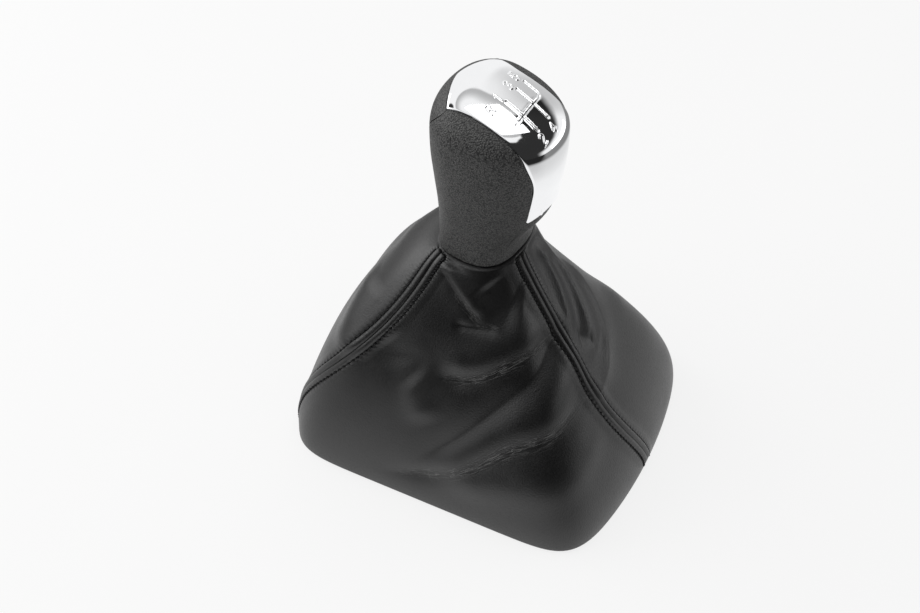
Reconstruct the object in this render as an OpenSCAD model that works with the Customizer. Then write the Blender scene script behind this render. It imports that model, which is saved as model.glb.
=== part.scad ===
// Gear shift knob with its sewn leather gaiter, millimetres.
// The gaiter stands on z = 0 with the lever's axis on z. +Y is the front of the car, +X its right.

/* [Gaiter base] */
// Half width of the base, left to right
base_half_x = 66; // [50:1:90]
// Half length of the base at its corners, front to rear
base_half_y = 71.5; // [55:1:95]
// How far the front and rear edges bow out at their middle
base_bow = 9.5; // [0:0.5:14]
// Squareness of the base's corners, higher is squarer
base_square = 9; // [4:0.5:14]
// Width of the hem that turns in under the frame
hem_w = 9; // [6:0.5:14]

/* [Leather] */
// Thickness of the leather
leather_t = 1.2; // [0.8:0.1:2]
// Height of the collar where the leather folds in under the knob
collar_z = 112.2; // [90:1:130]
// Half width of the collar, left to right
collar_half_x = 22; // [20.5:0.25:26]
// Half length of the collar, front to rear
collar_half_y = 19; // [18:0.25:24]
// How far the collar's middle lies in front of the lever's axis
collar_forward = 3.2; // [0:0.2:6]
// Depth of the leather's main folds
fold_depth = 2.6; // [0.5:0.1:4]
// Height of the sewn seams above the leather
seam_rise = 0.9; // [0:0.1:1.5]
// Half width of a sewn seam, over its two rows of stitches
seam_half_w = 5; // [3:0.5:8]
// Gap between two leather panels along their seam
seam_gap = 0.4; // [0.2:0.1:0.6]
// Height above the collar's underside that the tied lip hangs down
lip_h = 14; // [10:0.5:20]

/* [Knob head] */
// Turn of the knob about the lever's axis, as it stands in its gaiter
head_turn = -8; // [-20:1:20]
// Clear gap between the knob's rim and the leather below it
rim_gap = 1.2; // [1:0.1:3]
// Height of the head from its rim to the top of the crown
head_h = 79.5; // [70:0.5:95]
// Height of the crown's rounding
crown_h = 16.7; // [12:0.2:24]
// Half width of the head at its widest
head_half_x = 26.2; // [23:0.2:32]
// Reach of the head in front of its widest section
head_front = 19.8; // [17:0.2:26]
// Reach of the head behind its widest section
head_rear = 33.1; // [30:0.2:40]
// How far the widest section lies in front of the lever's axis
head_forward = 3.7; // [2:0.1:6]
// Fall of the crown towards the driver, per millimetre
crown_slope = 0.17; // [0:0.01:0.25]
// Wall of the grip shell
grip_wall = 2.4; // [1.8:0.1:3.2]

/* [Chrome cap] */
// Half width of the tongue down the back
tongue_half_w = 11.6; // [8:0.2:13]
// Height of the tongue's lower edge above the rim
tongue_z = 29.6; // [24:0.2:40]
// Extra half width of the cap on top of the crown
cap_flare = 4.8; // [3:0.2:7]
// Half width at the cap's two front corners
cap_corner_x = 18; // [15:0.2:20]
// How far the middle of the cap's front edge lies in front of the axis
cap_front_y = 17.8; // [12:0.2:19]
// How far the cap's two front corners lie behind the middle of its front edge
cap_front_drop = 7.2; // [4:0.2:9]
// How far the cap stands proud of the grip
cap_proud = 0.35; // [0.1:0.05:0.8]
// Wall of the cap
cap_wall = 1.8; // [1.4:0.1:2.4]
// Gap between the cap, the grip and the front insert
part_line = 0.25; // [0.15:0.05:0.5]

/* [Gate pattern] */
// Spacing of the gate's columns
gate_pitch = 8.2; // [6:0.1:8.5]
// Width of a groove
groove_w = 1.1; // [0.8:0.1:1.6]
// Depth of a groove
groove_d = 0.5; // [0.3:0.05:0.9]
// Length of a groove from the cross bar
gate_reach = 8.2; // [6:0.2:10]
// How far the cross bar lies behind the axis
gate_back = 14.4; // [10:0.2:18]
// Turn of the cross bar against the head
gate_turn = 4; // [-10:1:10]
// Lean of the columns to the right, per millimetre forwards
gate_lean = 0.2; // [0:0.02:0.3]

/* [Lever socket] */
// Radius of the bush's bore, which the lever fills
lever_r = 6; // [4.5:0.25:7]
// Depth of the bush's bore
lever_depth = 42; // [30:1:50]
// Wall of the bush
bush_wall = 1.6; // [1.2:0.1:2.2]
// Wall of the core round the bush
core_wall = 3; // [2.4:0.1:4]
// Height of the core's neck below the rim
neck_drop = 18; // [16:0.5:24]
// How far the bush stands out below the core
bush_lug = 3.2; // [2.6:0.1:6]
// Height above the floor plate at which the rear rib starts
rear_rib_start = 14; // [8:1:24]
// Running gap between pieces that slide together
fit_gap = 0.15; // [0.1:0.05:0.3]
// Width of the tie's band
tie_w = 3.6; // [2.5:0.1:4.8]
// Thickness of the tie's band
tie_t = 1.2; // [0.9:0.1:1.6]

/* [Base frame] */
// Thickness of the frame's flat rim
frame_t = 2.4; // [2:0.1:4]
// Width of the frame's flat rim
frame_w = 10; // [7:0.5:14]
// Height of the frame's upright wall
frame_h = 9; // [6:0.5:16]
// Thickness of the frame's upright wall
frame_wall = 2; // [1.6:0.1:3]
// Number of stiffening gussets along each side
frame_ribs = 4; // [2:1:6]
// Length of a spring clip
clip_len = 12; // [8:0.5:16]
// Thickness of a spring clip's steel
clip_t = 0.6; // [0.4:0.1:1]

/* [Hidden] */

rim_z = collar_z + leather_t / 2 + rim_gap;
shoulder_z = rim_z + head_h - crown_h;
clear = 0.4;
core_r = lever_r + bush_wall + fit_gap + core_wall;
lip_r = core_r + clear + leather_t / 2;

// Small helpers
function mix(a, b, k) = a * (1 - k) + b * k;
function clamp(x, lo, hi) = min(max(x, lo), hi);
function smooth(k) = let (c = clamp(k, 0, 1)) c * c * (3 - 2 * c);
function spow(x, e) = sign(x) * pow(abs(x), e);
function unit(v) = v / max(norm(v), 0.000001);
function turned(p, a) = [p[0] * cos(a) - p[1] * sin(a), p[0] * sin(a) + p[1] * cos(a), p[2]];
function bump(d, w) = exp(-d * d / (w * w));

// Value at angle a of a ring that has the four values [right, front, left, rear]
function round_ring(a, v) = (v[0] + v[1] + v[2] + v[3]) / 4 + (v[0] - v[2]) / 2 * cos(a)
  + (v[1] - v[3]) / 2 * sin(a) + (v[0] + v[2] - v[1] - v[3]) / 4 * cos(2 * a);

// Distance from the middle to a squared ellipse, in the direction a
function squircle(a, rx, ry, n) =
  1 / pow(pow(abs(cos(a)) / rx, n) + pow(abs(sin(a)) / ry, n), 1 / n);

// Base outline, drawn in by inset: straight sides, rounded corners, bowed front and rear edges
function base_pt(a, inset = 0) =
  let (rx = base_half_x - inset, ry = base_half_y - inset, r = squircle(a, rx, ry, base_square))
  let (x = r * cos(a), y = r * sin(a), bow = base_bow * (1 - pow(x / rx, 2)) * pow(min(abs(y) / ry, 1), 2))
  [x, y + sign(y) * bow];

// Collar outline, where the leather folds in under the knob's rim
collar_turn = head_turn / 2;
function collar_pt(a) =
  let (t = a - collar_turn, r = squircle(t, collar_half_x, collar_half_y, 2.6))
  let (p = turned([r * cos(t), r * sin(t) + collar_forward, 0], collar_turn)) [p[0], p[1]];

// The leather's run from hem to collar is one cubic curve in each direction. It leaves the base
// upright, and it is fullest at the front. Each list gives [right, front, left, rear].
wall_rise = [30, 30, 32, 32] / 111.5;
top_height = [94, 110, 99, 92] / 111.5;
top_reach = [0.13, 0.38, 0.19, 0.12];
function leather_run(a, t) =
  let (b = base_pt(a, leather_t / 2), n = collar_pt(a), reach = round_ring(a, top_reach))
  let (foot = [b[0], b[1], leather_t], low = [b[0], b[1], collar_z * round_ring(a, wall_rise)])
  let (end = [n[0], n[1], collar_z], shoulder = mix(n, b, reach))
  let (high = [shoulder[0], shoulder[1], collar_z * round_ring(a, top_height)])
  foot * pow(1 - t, 3) + 3 * low * t * pow(1 - t, 2) + 3 * high * t * t * (1 - t) + end * pow(t, 3);

// Seams: the angle of each one at height t, from hem to collar. The front pair mirror each other.
function front_seam(t) = mix(124, 148, smooth((t - 0.05) / 0.8));
function front_right_seam(t) = 180 - front_seam(t);
function rear_seam(t) = mix(268.5, 253.5, smooth(t / 0.5));

// Folds, each a soft groove (minus) or ridge (plus) from [angle, t] to [angle, t], with its bow,
// its height as a share of fold_depth, and its half width in millimetres
folds = [
  [[158, 0.94], [199, 0.765], 2, -0.9, 4.5],
  [[166, 0.97], [208, 0.83], 2, 0.7, 5],
  [[196, 0.745], [212, 0.735], 0, -0.8, 4.5],
  [[176, 0.52], [243, 0.66], 7, -0.9, 5.5],
  [[180, 0.58], [236, 0.74], 7, 0.6, 9],
  [[244, 0.635], [205, 0.46], -3, 0.8, 7],
  [[166, 0.115], [243, 0.45], 7, -0.8, 6],
  [[190, 0.17], [248, 0.38], 5, 0.6, 9],
  [[143, 0.55], [166, 0.48], 0, -0.7, 9],
  [[118, 0.66], [136, 0.47], 0, 0.8, 8],
  [[290, 0.93], [260, 0.6], -2, 0.8, 4],
  [[300, 0.9], [268, 0.56], -2, -0.8, 4],
  [[304, 0.8], [268, 0.5], -4, 0.8, 5],
  [[312, 0.78], [276, 0.45], -4, -0.7, 5.5],
  [[306, 0.7], [278, 0.42], -4, 0.7, 6],
  [[340, 0.9], [350, 0.45], 0, -0.6, 8],
  [[16, 0.88], [8, 0.4], 0, 0.7, 8],
  [[60, 0.8], [48, 0.4], 0, -0.7, 9],
  [[92, 0.75], [88, 0.35], 0, -0.5, 10]];
// Millimetres along the leather for one degree at height t, and for the whole of t
function mm_per_deg(t) = mix(1.25, 0.42, t);
run_len = 135;

// Height of one fold at [a, t]: a bell across the line that joins its ends, fading at the ends. The
// angle is taken the short way round, so that a fold runs on across a seam.
function fold_at(f, a, t) =
  let (s = mm_per_deg(t), d = [(f[1][0] - f[0][0]) * s, (f[1][1] - f[0][1]) * run_len])
  let (way = a - f[0][0], short = way - 360 * round(way / 360))
  let (p = [short * s, (t - f[0][1]) * run_len], len = norm(d))
  let (along = (p * d) / (len * len), across = (p[1] * d[0] - p[0] * d[1]) / len)
  let (bow = f[2] * 4 * along * (1 - along), ends = smooth((along + 0.12) / 0.3) * smooth((1.12 - along) / 0.3))
  fold_depth * f[3] * bump(across + bow, f[4]) * ends;

function sum_folds(a, t, i = 0) = i == len(folds) ? 0 : fold_at(folds[i], a, t) + sum_folds(a, t, i + 1);

// Seam relief at a distance of d millimetres: raised over the allowance, with a nick at the join
function seam_at(d) = seam_rise * (smooth((seam_half_w + 1.5 - abs(d)) / 2.5) - 0.9 * bump(d, 1.1));
function seams(a, t) = let (s = mm_per_deg(t), right = front_right_seam(t))
  seam_at((a - rear_seam(t)) * s) + seam_at((a - front_seam(t)) * s) + seam_at((a - right) * s)
  + seam_at((a - 360 - right) * s);

// Relief fades out at the hem and at the collar
function relief(a, t) = smooth(t / 0.06) * smooth((1 - t) / 0.05) * (sum_folds(a, t) + seams(a, t));

// Outward direction of the smooth leather at [a, t]
function run_normal(a, t) =
  let (k = clamp(t, 0.02, 0.98), da = leather_run(a + 1, k) - leather_run(a - 1, k))
  unit(cross(da, leather_run(a, k + 0.01) - leather_run(a, k - 0.01)));

// Middle of the leather at row u: 0 to 1 is the wall, below 0 the hem, above 1 the tied lip
hem_rows = [-2, -1];
wall_rows = [for (i = [0:20]) i / 20];
lip_rows = [1.1, 1.2, 1.4, 1.7, 2];
leather_rows = concat(hem_rows, wall_rows, lip_rows);
function hem_mid(a, u) = let (b = base_pt(a, leather_t / 2 + (u < -1.5 ? hem_w : leather_t)))
  [b[0], b[1], leather_t / 2];
function lip_mid(a, u) =
  let (n = collar_pt(a), c = lip_r * [cos(a), sin(a)])
  let (k = u < 1.15 ? 0.1 : u < 1.3 ? 0.5 : u < 1.5 ? 0.93 : 1)
  let (z = u < 1.15 ? 0.5 : u < 1.3 ? 0.6 : u < 1.5 ? -0.4 : u < 1.8 ? -lip_h / 2 : -lip_h)
  let (p = mix(n, c, k)) [p[0], p[1], collar_z + z];
function leather_mid(a, u) = u < 0 ? hem_mid(a, u)
  : u > 1 ? lip_mid(a, u)
  : leather_run(a, u) + relief(a, u) * run_normal(a, u);

// Grid helpers: the normal of a grid of points at row i, column j
function grid_normal(g, i, j) =
  let (i0 = max(i - 1, 0), i1 = min(i + 1, len(g) - 1), j0 = max(j - 1, 0), j1 = min(j + 1, len(g[0]) - 1))
  unit(cross(g[i][j1] - g[i][j0], g[i1][j] - g[i0][j]));
function grid_offset(g, d) = [for (i = [0:len(g) - 1]) [for (j = [0:len(g[0]) - 1])
  g[i][j] + d * grid_normal(g, i, j)]];
function flat_list(g) = [for (row = g) each row];

// Solid between an outer and an inner grid of points. Columns run counter-clockwise seen from above
// and rows run up. ring joins the last column to the first, pole closes the last row on two points.
module skin(outer, inner, ring = false, pole = []) {
  rows = len(outer);
  cols = len(outer[0]);
  half = rows * cols;
  last = ring ? cols - 1 : cols - 2;
  quads = [for (i = [0:rows - 2]) for (j = [0:last]) [i * cols + j, i * cols + (j + 1) % cols,
    (i + 1) * cols + (j + 1) % cols, (i + 1) * cols + j]];
  out_faces = [for (q = quads) each [[q[0], q[2], q[1]], [q[0], q[3], q[2]]]];
  in_faces = [for (q = quads) each [[q[0] + half, q[1] + half, q[2] + half],
    [q[0] + half, q[2] + half, q[3] + half]]];
  low = [for (j = [0:last]) let (k = (j + 1) % cols) each [[j, k, k + half], [j, k + half, j + half]]];
  top = (rows - 1) * cols;
  high = [for (j = [0:last]) let (a = top + j, b = top + (j + 1) % cols)
    each [[a, b + half, b], [a, a + half, b + half]]];
  fan = [for (j = [0:last]) let (a = top + j, b = top + (j + 1) % cols)
    each [[a, 2 * half, b], [a + half, b + half, 2 * half + 1]]];
  left = [for (i = [0:rows - 2]) let (a = i * cols, b = a + cols)
    each [[a, a + half, b + half], [a, b + half, b]]];
  right = [for (i = [0:rows - 2]) let (a = i * cols + cols - 1, b = a + cols)
    each [[a, b, b + half], [a, b + half, a + half]]];
  sides = ring ? [] : concat(left, right);
  points = concat(flat_list(outer), flat_list(inner), pole);
  polyhedron(points, concat(out_faces, in_faces, low, len(pole) > 0 ? fan : high, sides));
}

// One leather panel between two seams, with cols columns of facets
module leather_panel(from, to, cols) {
  mid = [for (u = leather_rows) let (t = clamp(u, 0, 1), s = mm_per_deg(t))
    let (a0 = from(t) + seam_gap / 2 / s, a1 = to(t) - seam_gap / 2 / s)
    [for (j = [0:cols]) leather_mid(a0 + (a1 - a0) * j / cols, u)]];
  skin(grid_offset(mid, leather_t / 2), grid_offset(mid, -leather_t / 2));
}

module left_leather() {
  color("#3b3b3d") leather_panel(function (t) front_seam(t), function (t) rear_seam(t), 26);
}

module right_leather() {
  color("#39393b") leather_panel(function (t) rear_seam(t), function (t) 360 + front_right_seam(t), 26);
}

module front_leather() {
  color("#37373a") leather_panel(function (t) front_right_seam(t), function (t) front_seam(t), 16);
}

// Head sections from the rim up: height share, then width, front and rear reach as shares of the
// widest section, and squareness
sections = [
  [0, 0.77, 0.82, 0.54, 2.7],
  [0.2, 0.79, 0.83, 0.63, 2.5],
  [0.4, 0.84, 0.87, 0.85, 2.3],
  [0.62, 0.915, 0.935, 0.95, 2.2],
  [0.84, 0.985, 0.99, 0.995, 2.15],
  [1, 1, 1, 1, 2.15]];
// Slope of the sections' values at station i, for a smooth curve through them
function station_slope(i, k) = i <= 0 || i >= len(sections) - 1 ? 0
  : (sections[i + 1][k] - sections[i - 1][k]) / (sections[i + 1][0] - sections[i - 1][0]);
function hermite(p, q, mp, mq, h, s) = p * (1 + 2 * s) * pow(1 - s, 2) + mp * h * s * pow(1 - s, 2)
  + q * s * s * (3 - 2 * s) + mq * h * s * s * (s - 1);
function station(v, i = 0) = i >= len(sections) - 2 || v < sections[i + 1][0] ? i : station(v, i + 1);
function section_value(v, k) =
  let (i = station(v), h = sections[i + 1][0] - sections[i][0], s = (v - sections[i][0]) / h)
  hermite(sections[i][k], sections[i + 1][k], station_slope(i, k), station_slope(i + 1, k), h, s);

// Point of the head's skin at angle a, drawn in by inset. u runs 0 to 1 from rim to shoulder and
// 1 to 2 over the crown, a superellipse of power 2.65 that falls towards the driver.
crown_power = 2.65;
function head_pt(a, u, inset = 0) =
  let (v = clamp(u, 0, 1), phi = 90 * clamp(u - 1, 0, 1), n = 2 / section_value(v, 4))
  let (s = pow(cos(phi), 2 / crown_power), h = pow(sin(phi), 2 / crown_power))
  let (w = head_half_x * section_value(v, 1) - inset, f = head_front * section_value(v, 2) - inset)
  let (r = head_rear * section_value(v, 3) - inset, reach = (sin(a) >= 0 ? f : r) * s)
  let (x = w * s * spow(cos(a), n), y = reach * spow(sin(a), n))
  [x, y + head_forward, rim_z + v * (shoulder_z - rim_z) + h * (crown_h - inset) + crown_slope * y * h];

// Whether a point of the head's skin lies under the cap, whose outline is grown by g. The cap widens
// from the tongue to the crown between flare_z and flare_z + flare_h, and a little more to the front.
flare_h = 24;
flare_z = shoulder_z - 0.7 * flare_h;
tongue_arch = 3;
function cap_half(p) = tongue_half_w + 0.14 * max(p[1], 0) + cap_flare * smooth((p[2] - flare_z) / flare_h);
function under_cap(p, g) = abs(p[0]) < cap_half(p) + g
  && p[1] < cap_front_y - cap_front_drop * pow(abs(p[0]) / cap_corner_x, 1.4) + g
  && p[2] > rim_z + tongue_z + tongue_arch * (1 - pow(p[0] / tongue_half_w, 2)) - g;
// Lowest u at angle a that lies under the cap, found by halving
function cap_edge(a, g, lo = 0.2, hi = 1.97, n = 14) = n == 0 ? (lo + hi) / 2
  : under_cap(head_pt(a, (lo + hi) / 2), g) ? cap_edge(a, g, lo, (lo + hi) / 2, n - 1)
  : cap_edge(a, g, (lo + hi) / 2, hi, n - 1);

// The front insert's lower line: from the cap's two front corners down over the front
insert_from = 25;
insert_to = 180 - insert_from;
insert_side = 1.5;
insert_drop = 0.85;
insert_cols = [for (j = [0:18]) mix(insert_from + insert_side, insert_to - insert_side, j / 18)];
function insert_edge(a) = cap_edge(a, 0) - insert_drop * pow(max(sin(180 * (a - insert_from)
  / (insert_to - insert_from)), 0), 0.75) - 0.04;
function over_insert(a) = a > insert_from && a < insert_to;

// Angle from the back at which the tongue's side lies, and the head's columns, which share the
// insert's over the front and stand closer together at the tongue's sides
tongue_side = asin(pow(tongue_half_w / (head_half_x * section_value(0.65, 1)), section_value(0.65, 4) / 2));
tongue_cols = [for (c = [-1.7, -0.2, 0.3, 1.3, 2.8, 4.8, 7.4]) tongue_side + c];
left_cols = [for (k = [0:9]) mix(insert_to + 9, 263 - tongue_cols[6], k / 9)];
head_cols = concat([0, 8, 16, insert_from], insert_cols, [insert_to], left_cols,
  [for (k = [6:-1:0]) 270 - tongue_cols[k]], [for (a = [-15:7.5:15]) 270 + a],
  [for (k = tongue_cols) 270 + k], [for (a = [308:7.5:353]) a]);

// The grip stops at the insert, or a hair short of the cap
function grip_top(a) = over_insert(a) ? insert_edge(a) - 0.01 : cap_edge(a, part_line);
module grip_skin(rows, inset_out, inset_in) {
  grid = function (inset) [for (i = [0:rows]) [for (a = head_cols) head_pt(a, grip_top(a) * i / rows, inset)]];
  skin(grid(inset_out), grid(inset_in), ring = true);
}

module grip_shell() {
  color("#2f3031") rotate([0, 0, head_turn]) grip_skin(12, 0, grip_wall);
}

module front_insert() {
  rows = 5;
  edge = function (a) insert_edge(a) + 0.01;
  grid = function (inset) [for (i = [0:rows]) [for (a = insert_cols)
    head_pt(a, mix(edge(a), cap_edge(a, part_line), i / rows), inset)]];
  color("#18191b") rotate([0, 0, head_turn]) skin(grid(0), grid(grip_wall));
}

// Cap skin: proud of the head by out, a little more towards the tongue's free end
module cap_skin(rows) {
  lift = function (p) cap_proud + 0.6 * smooth((rim_z + tongue_z + 12 - p[2]) / 12);
  rise = function (a, k) mix(cap_edge(a, 0), 1.95, k);
  outer = [for (i = [0:rows]) [for (a = head_cols) let (u = rise(a, i / rows))
    head_pt(a, u, -lift(head_pt(a, u)))]];
  inner = [for (i = [0:rows]) [for (a = head_cols) let (u = rise(a, i / rows))
    head_pt(a, u, cap_wall - lift(head_pt(a, u)))]];
  skin(outer, inner, ring = true, pole = [head_pt(0, 2, -cap_proud), head_pt(0, 2, cap_wall - cap_proud)]);
}

// Height of the crown's skin over [x, y], found by halving between the shoulder and the top
function crown_z(x, y, n = 12, lo = 1, hi = 2) =
  let (dy = y - head_forward, a = atan2(dy / (dy > 0 ? head_front : head_rear), x / head_half_x))
  let (p = head_pt(a, (lo + hi) / 2))
  n == 0 ? p[2]
  : norm([p[0], p[1] - head_forward]) > norm([x, dy]) ? crown_z(x, y, n - 1, (lo + hi) / 2, hi)
  : crown_z(x, y, n - 1, lo, (lo + hi) / 2);

// Gate grooves: a cross bar with three columns in front of it and two behind. A point of the gate is
// given by its place along the bar, in pitches, and its distance in front of the bar.
gate_cols = [-0.43, 0.57, 1.3];
gate_left = -1.07;
function gate_pt(k, d) = turned([k * gate_pitch + gate_lean * d, d, 0], gate_turn) - [0, gate_back, 0];
groove_top = 6;
module groove(p, q) {
  a = [p[0], p[1], crown_z(p[0], p[1]) + cap_proud - groove_d];
  b = [q[0], q[1], crown_z(q[0], q[1]) + cap_proud - groove_d];
  d = b - a;
  translate(a) rotate([0, -asin(d[2] / norm(d)), atan2(d[1], d[0])])
    translate([-groove_w / 2, -groove_w / 2, 0]) cube([norm(d) + groove_w, groove_w, groove_top]);
}
module gate() {
  for (k = gate_cols) groove(gate_pt(k, 0), gate_pt(k, gate_reach));
  for (k = [gate_cols[0], gate_cols[1]]) groove(gate_pt(k, 1 - gate_reach), gate_pt(k, 0));
  groove(gate_pt(gate_left, 0), gate_pt(0, 0));
  groove(gate_pt(0, 0), gate_pt(gate_cols[2], 0));
}

// Legs under the cap that snap through the core's seat plate
leg_x = 13.4;
leg_y = 0;
leg_w = 5;
leg_t = 1.6;
hook = 0.8;
module cap_legs() {
  for (s = [-1, 1]) translate([s * leg_x, leg_y, 0]) {
    foot = seat_z - hook - clear;
    translate([-leg_t / 2, -leg_w / 2, foot])
      cube([leg_t, leg_w, crown_z(leg_x, leg_y) - cap_wall + 0.6 - foot]);
    translate([s > 0 ? 0 : -leg_t / 2 - hook, -leg_w / 2, foot - hook])
      cube([leg_t / 2 + hook, leg_w, hook * 2]);
  }
}

module chrome_cap() {
  color("#d5d8db") rotate([0, 0, head_turn]) {
    difference() {
      cap_skin(8);
      gate();
    }
    cap_legs();
  }
}

// Core: neck tube round the bush, floor plate in the shell's mouth, ribs that carry the shell, and
// a seat plate with posts under the cap
head_v = function (z) (z - rim_z) / (shoulder_z - rim_z);
core_z = rim_z - neck_drop;
bush_z = core_z - bush_lug;
bush_r = lever_r + bush_wall;
plate_z = rim_z + 3;
plate_t = 2.4;
seat_t = 2.4;
seat_z = shoulder_z - 4;
rib_t = 2;
post_r = 2.5;
post_x = 9;
post_y = [-16, 9];
inside = grip_wall + clear;
module section_plate(z, h) {
  v = head_v(z);
  translate([0, 0, z]) linear_extrude(h)
    polygon([for (a = [0:6:354]) let (p = head_pt(a, v, inside)) [p[0], p[1]]]);
}
// Rib from the tube out to the shell's skin, in the plane of the skin's angle a
module rib(a, from_z) {
  fore_aft = a == 90 || a == 270;
  level = [for (i = [0:8]) mix(from_z, seat_z + 0.5, i / 8)];
  skin_line = [for (z = level) let (p = head_pt(a, head_v(z), inside)) [abs(fore_aft ? p[1] : p[0]), z]];
  near = core_r - 1;
  translate([0, fore_aft ? 0 : head_forward, 0]) rotate([90, 0, a]) translate([0, 0, -rib_t / 2])
    linear_extrude(rib_t) polygon(concat([[near, from_z]], skin_line, [[near, seat_z + 0.5]]));
}
// Post from the seat plate up to the lowest part of the cap's skin over it
module post(x, y) {
  top = crown_z(abs(x) + post_r, y + sign(y) * post_r) - cap_wall - clear;
  translate([x, y, seat_z + seat_t - 0.5]) cylinder(r = post_r, h = top - seat_z - seat_t + 0.5, $fn = 32);
}
module knob_core() {
  color("#242527") difference() {
    union() {
      translate([0, 0, core_z]) cylinder(r = core_r, h = seat_z + 0.5 - core_z, $fn = 72);
      rotate([0, 0, head_turn]) {
        section_plate(plate_z, plate_t);
        section_plate(seat_z, seat_t);
        for (a = [0, 90, 180]) rib(a, plate_z + plate_t - 0.5);
        rib(270, plate_z + rear_rib_start);
        for (s = [-1, 1]) for (y = post_y) post(s * post_x, y);
      }
    }
    translate([0, 0, core_z - 1])
      cylinder(r = bush_r + fit_gap, h = lever_depth + bush_wall - bush_lug + 1 + fit_gap, $fn = 72);
    rotate([0, 0, head_turn]) for (s = [-1, 1])
      translate([s * (leg_x + hook / 2) - leg_t / 2 - clear - hook / 2, leg_y - leg_w / 2 - clear, seat_z - 1])
        cube([leg_t + hook + 2 * clear, leg_w + 2 * clear, seat_t + 2]);
  }
}

// Bush: blind steel sleeve that takes the lever, grooved for its ring below the core
module lever_bush() {
  color("#9a9c9f") difference() {
    translate([0, 0, bush_z]) cylinder(r = bush_r, h = lever_depth + bush_wall, $fn = 72);
    translate([0, 0, bush_z - 1]) cylinder(r = lever_r, h = lever_depth + 1, $fn = 72);
    translate([0, 0, ring_z - fit_gap]) difference() {
      cylinder(r = bush_r + 1, h = ring_t + 2 * fit_gap, $fn = 72);
      translate([0, 0, -1]) cylinder(r = bush_r - ring_bite, h = ring_t + 2, $fn = 72);
    }
  }
}

// Retaining ring: open spring ring that keeps the bush in the core
ring_t = 1;
ring_w = 2.2;
ring_bite = 0.5;
ring_gap_angle = 60;
ring_z = core_z - ring_t - clear;
module bush_ring() {
  inner = bush_r - ring_bite + fit_gap / 3;
  color("#8c8f92") translate([0, 0, ring_z])
    rotate([0, 0, 270 + ring_gap_angle / 2]) rotate_extrude(angle = 360 - ring_gap_angle, $fn = 72)
      translate([inner, 0]) square([ring_w, ring_t]);
}

// Cable tie round the leather's lip: band, lock head and cut tail
tie_r = lip_r + leather_t / 2 + clear;
lock_w = 6;
lock_d = 4;
tail_len = 5;
module neck_tie() {
  color("#1b1b1d") translate([0, 0, collar_z - lip_h + 3]) difference() {
    union() {
      cylinder(r = tie_r + tie_t, h = tie_w, $fn = 96);
      translate([-lock_w / 2, tie_r, -0.6]) cube([lock_w, lock_d, tie_w + 1.2]);
      translate([lock_w / 2, tie_r + lock_d - 2 * tie_t, 0]) cube([tail_len, tie_t, tie_w]);
    }
    translate([0, 0, -1]) cylinder(r = tie_r, h = tie_w + 2, $fn = 96);
  }
}

// Frame: a flat rim on the hem, an upright wall inside the leather, and gussets between them
frame_z = leather_t + clear;
frame_out = leather_t + 0.8;
wall_in = 3.2;
module base_outline(inset) {
  polygon([for (a = [0:4:356]) base_pt(a, inset)]);
}
module frame_ring(inset, width, height) {
  linear_extrude(height) difference() {
    base_outline(inset);
    base_outline(inset + width);
  }
}
// Gusset behind the wall, with its back at [x, y] and turned by a
module gusset(x, y, a) {
  foot = frame_w - wall_in - frame_wall - 0.8;
  translate([x, y, frame_t - 0.3]) rotate([90, 0, a]) translate([0, 0, -0.8]) linear_extrude(1.6)
    polygon([[-0.3, 0], [foot, 0], [-0.3, frame_h - frame_t - 0.7]]);
}
clip_y = base_half_y * 0.4;
clip_x = base_half_x - frame_out - wall_in;
module base_frame() {
  side = base_half_x - frame_out - wall_in - frame_wall;
  color("#202123") translate([0, 0, frame_z]) {
    frame_ring(frame_out, frame_w, frame_t);
    frame_ring(frame_out + wall_in, frame_wall, frame_h);
    for (s = [-1, 1]) for (i = [0:frame_ribs - 1])
      let (y = (i + 0.5) / frame_ribs * clip_y * 1.6 - clip_y * 0.8)
        gusset(s * side, y, s > 0 ? 180 : 0);
  }
}

// Spring clips, bent over the frame's wall, with a barb that grips the console
clip_gap = fit_gap;
clip_lift = 0.5;
barb_reach = 2;
barb_z = 3.5;
module spring_clip() {
  inner = frame_wall + 2 * clip_gap;
  top = frame_h - frame_t - clip_lift + clip_gap;
  leg = inner - clip_gap;
  rotate([90, 0, 0]) translate([0, 0, -clip_len / 2]) linear_extrude(clip_len) {
    translate([-clip_gap - clip_t, 0]) square([clip_t, top + clip_t]);
    translate([-clip_gap - clip_t, top]) square([inner + 2 * clip_t, clip_t]);
    translate([leg, 1]) square([clip_t, top - 1 + clip_t]);
    polygon([[leg + clip_t / 2, 1], [leg + clip_t / 2, 1 + clip_t],
      [inner + barb_reach, barb_z], [inner + barb_reach + 0.4, barb_z - 0.5]]);
  }
}
module frame_clips() {
  clip_z = frame_z + frame_t + clip_lift;
  color("#a5a8ab") for (sy = [-1, 1]) {
    translate([-clip_x, sy * clip_y, clip_z]) spring_clip();
    translate([clip_x, sy * clip_y, clip_z]) mirror([1, 0, 0]) spring_clip();
  }
}

left_leather();
right_leather();
front_leather();
base_frame();
frame_clips();
grip_shell();
front_insert();
chrome_cap();
knob_core();
lever_bush();
bush_ring();
neck_tie();
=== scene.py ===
"""Looks of a gear shift knob and its sewn leather gaiter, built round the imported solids.

Lengths are millimetres until a mesh is filled, which turns them into metres. Angles round the lever
are degrees, 0 at the car's right and 90 at its front.
"""

from __future__ import annotations

import logging
import math
from dataclasses import dataclass, field
from enum import Enum
from typing import Any, Sequence

import bmesh
import bpy
import numpy as np
from mathutils import Matrix


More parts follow.
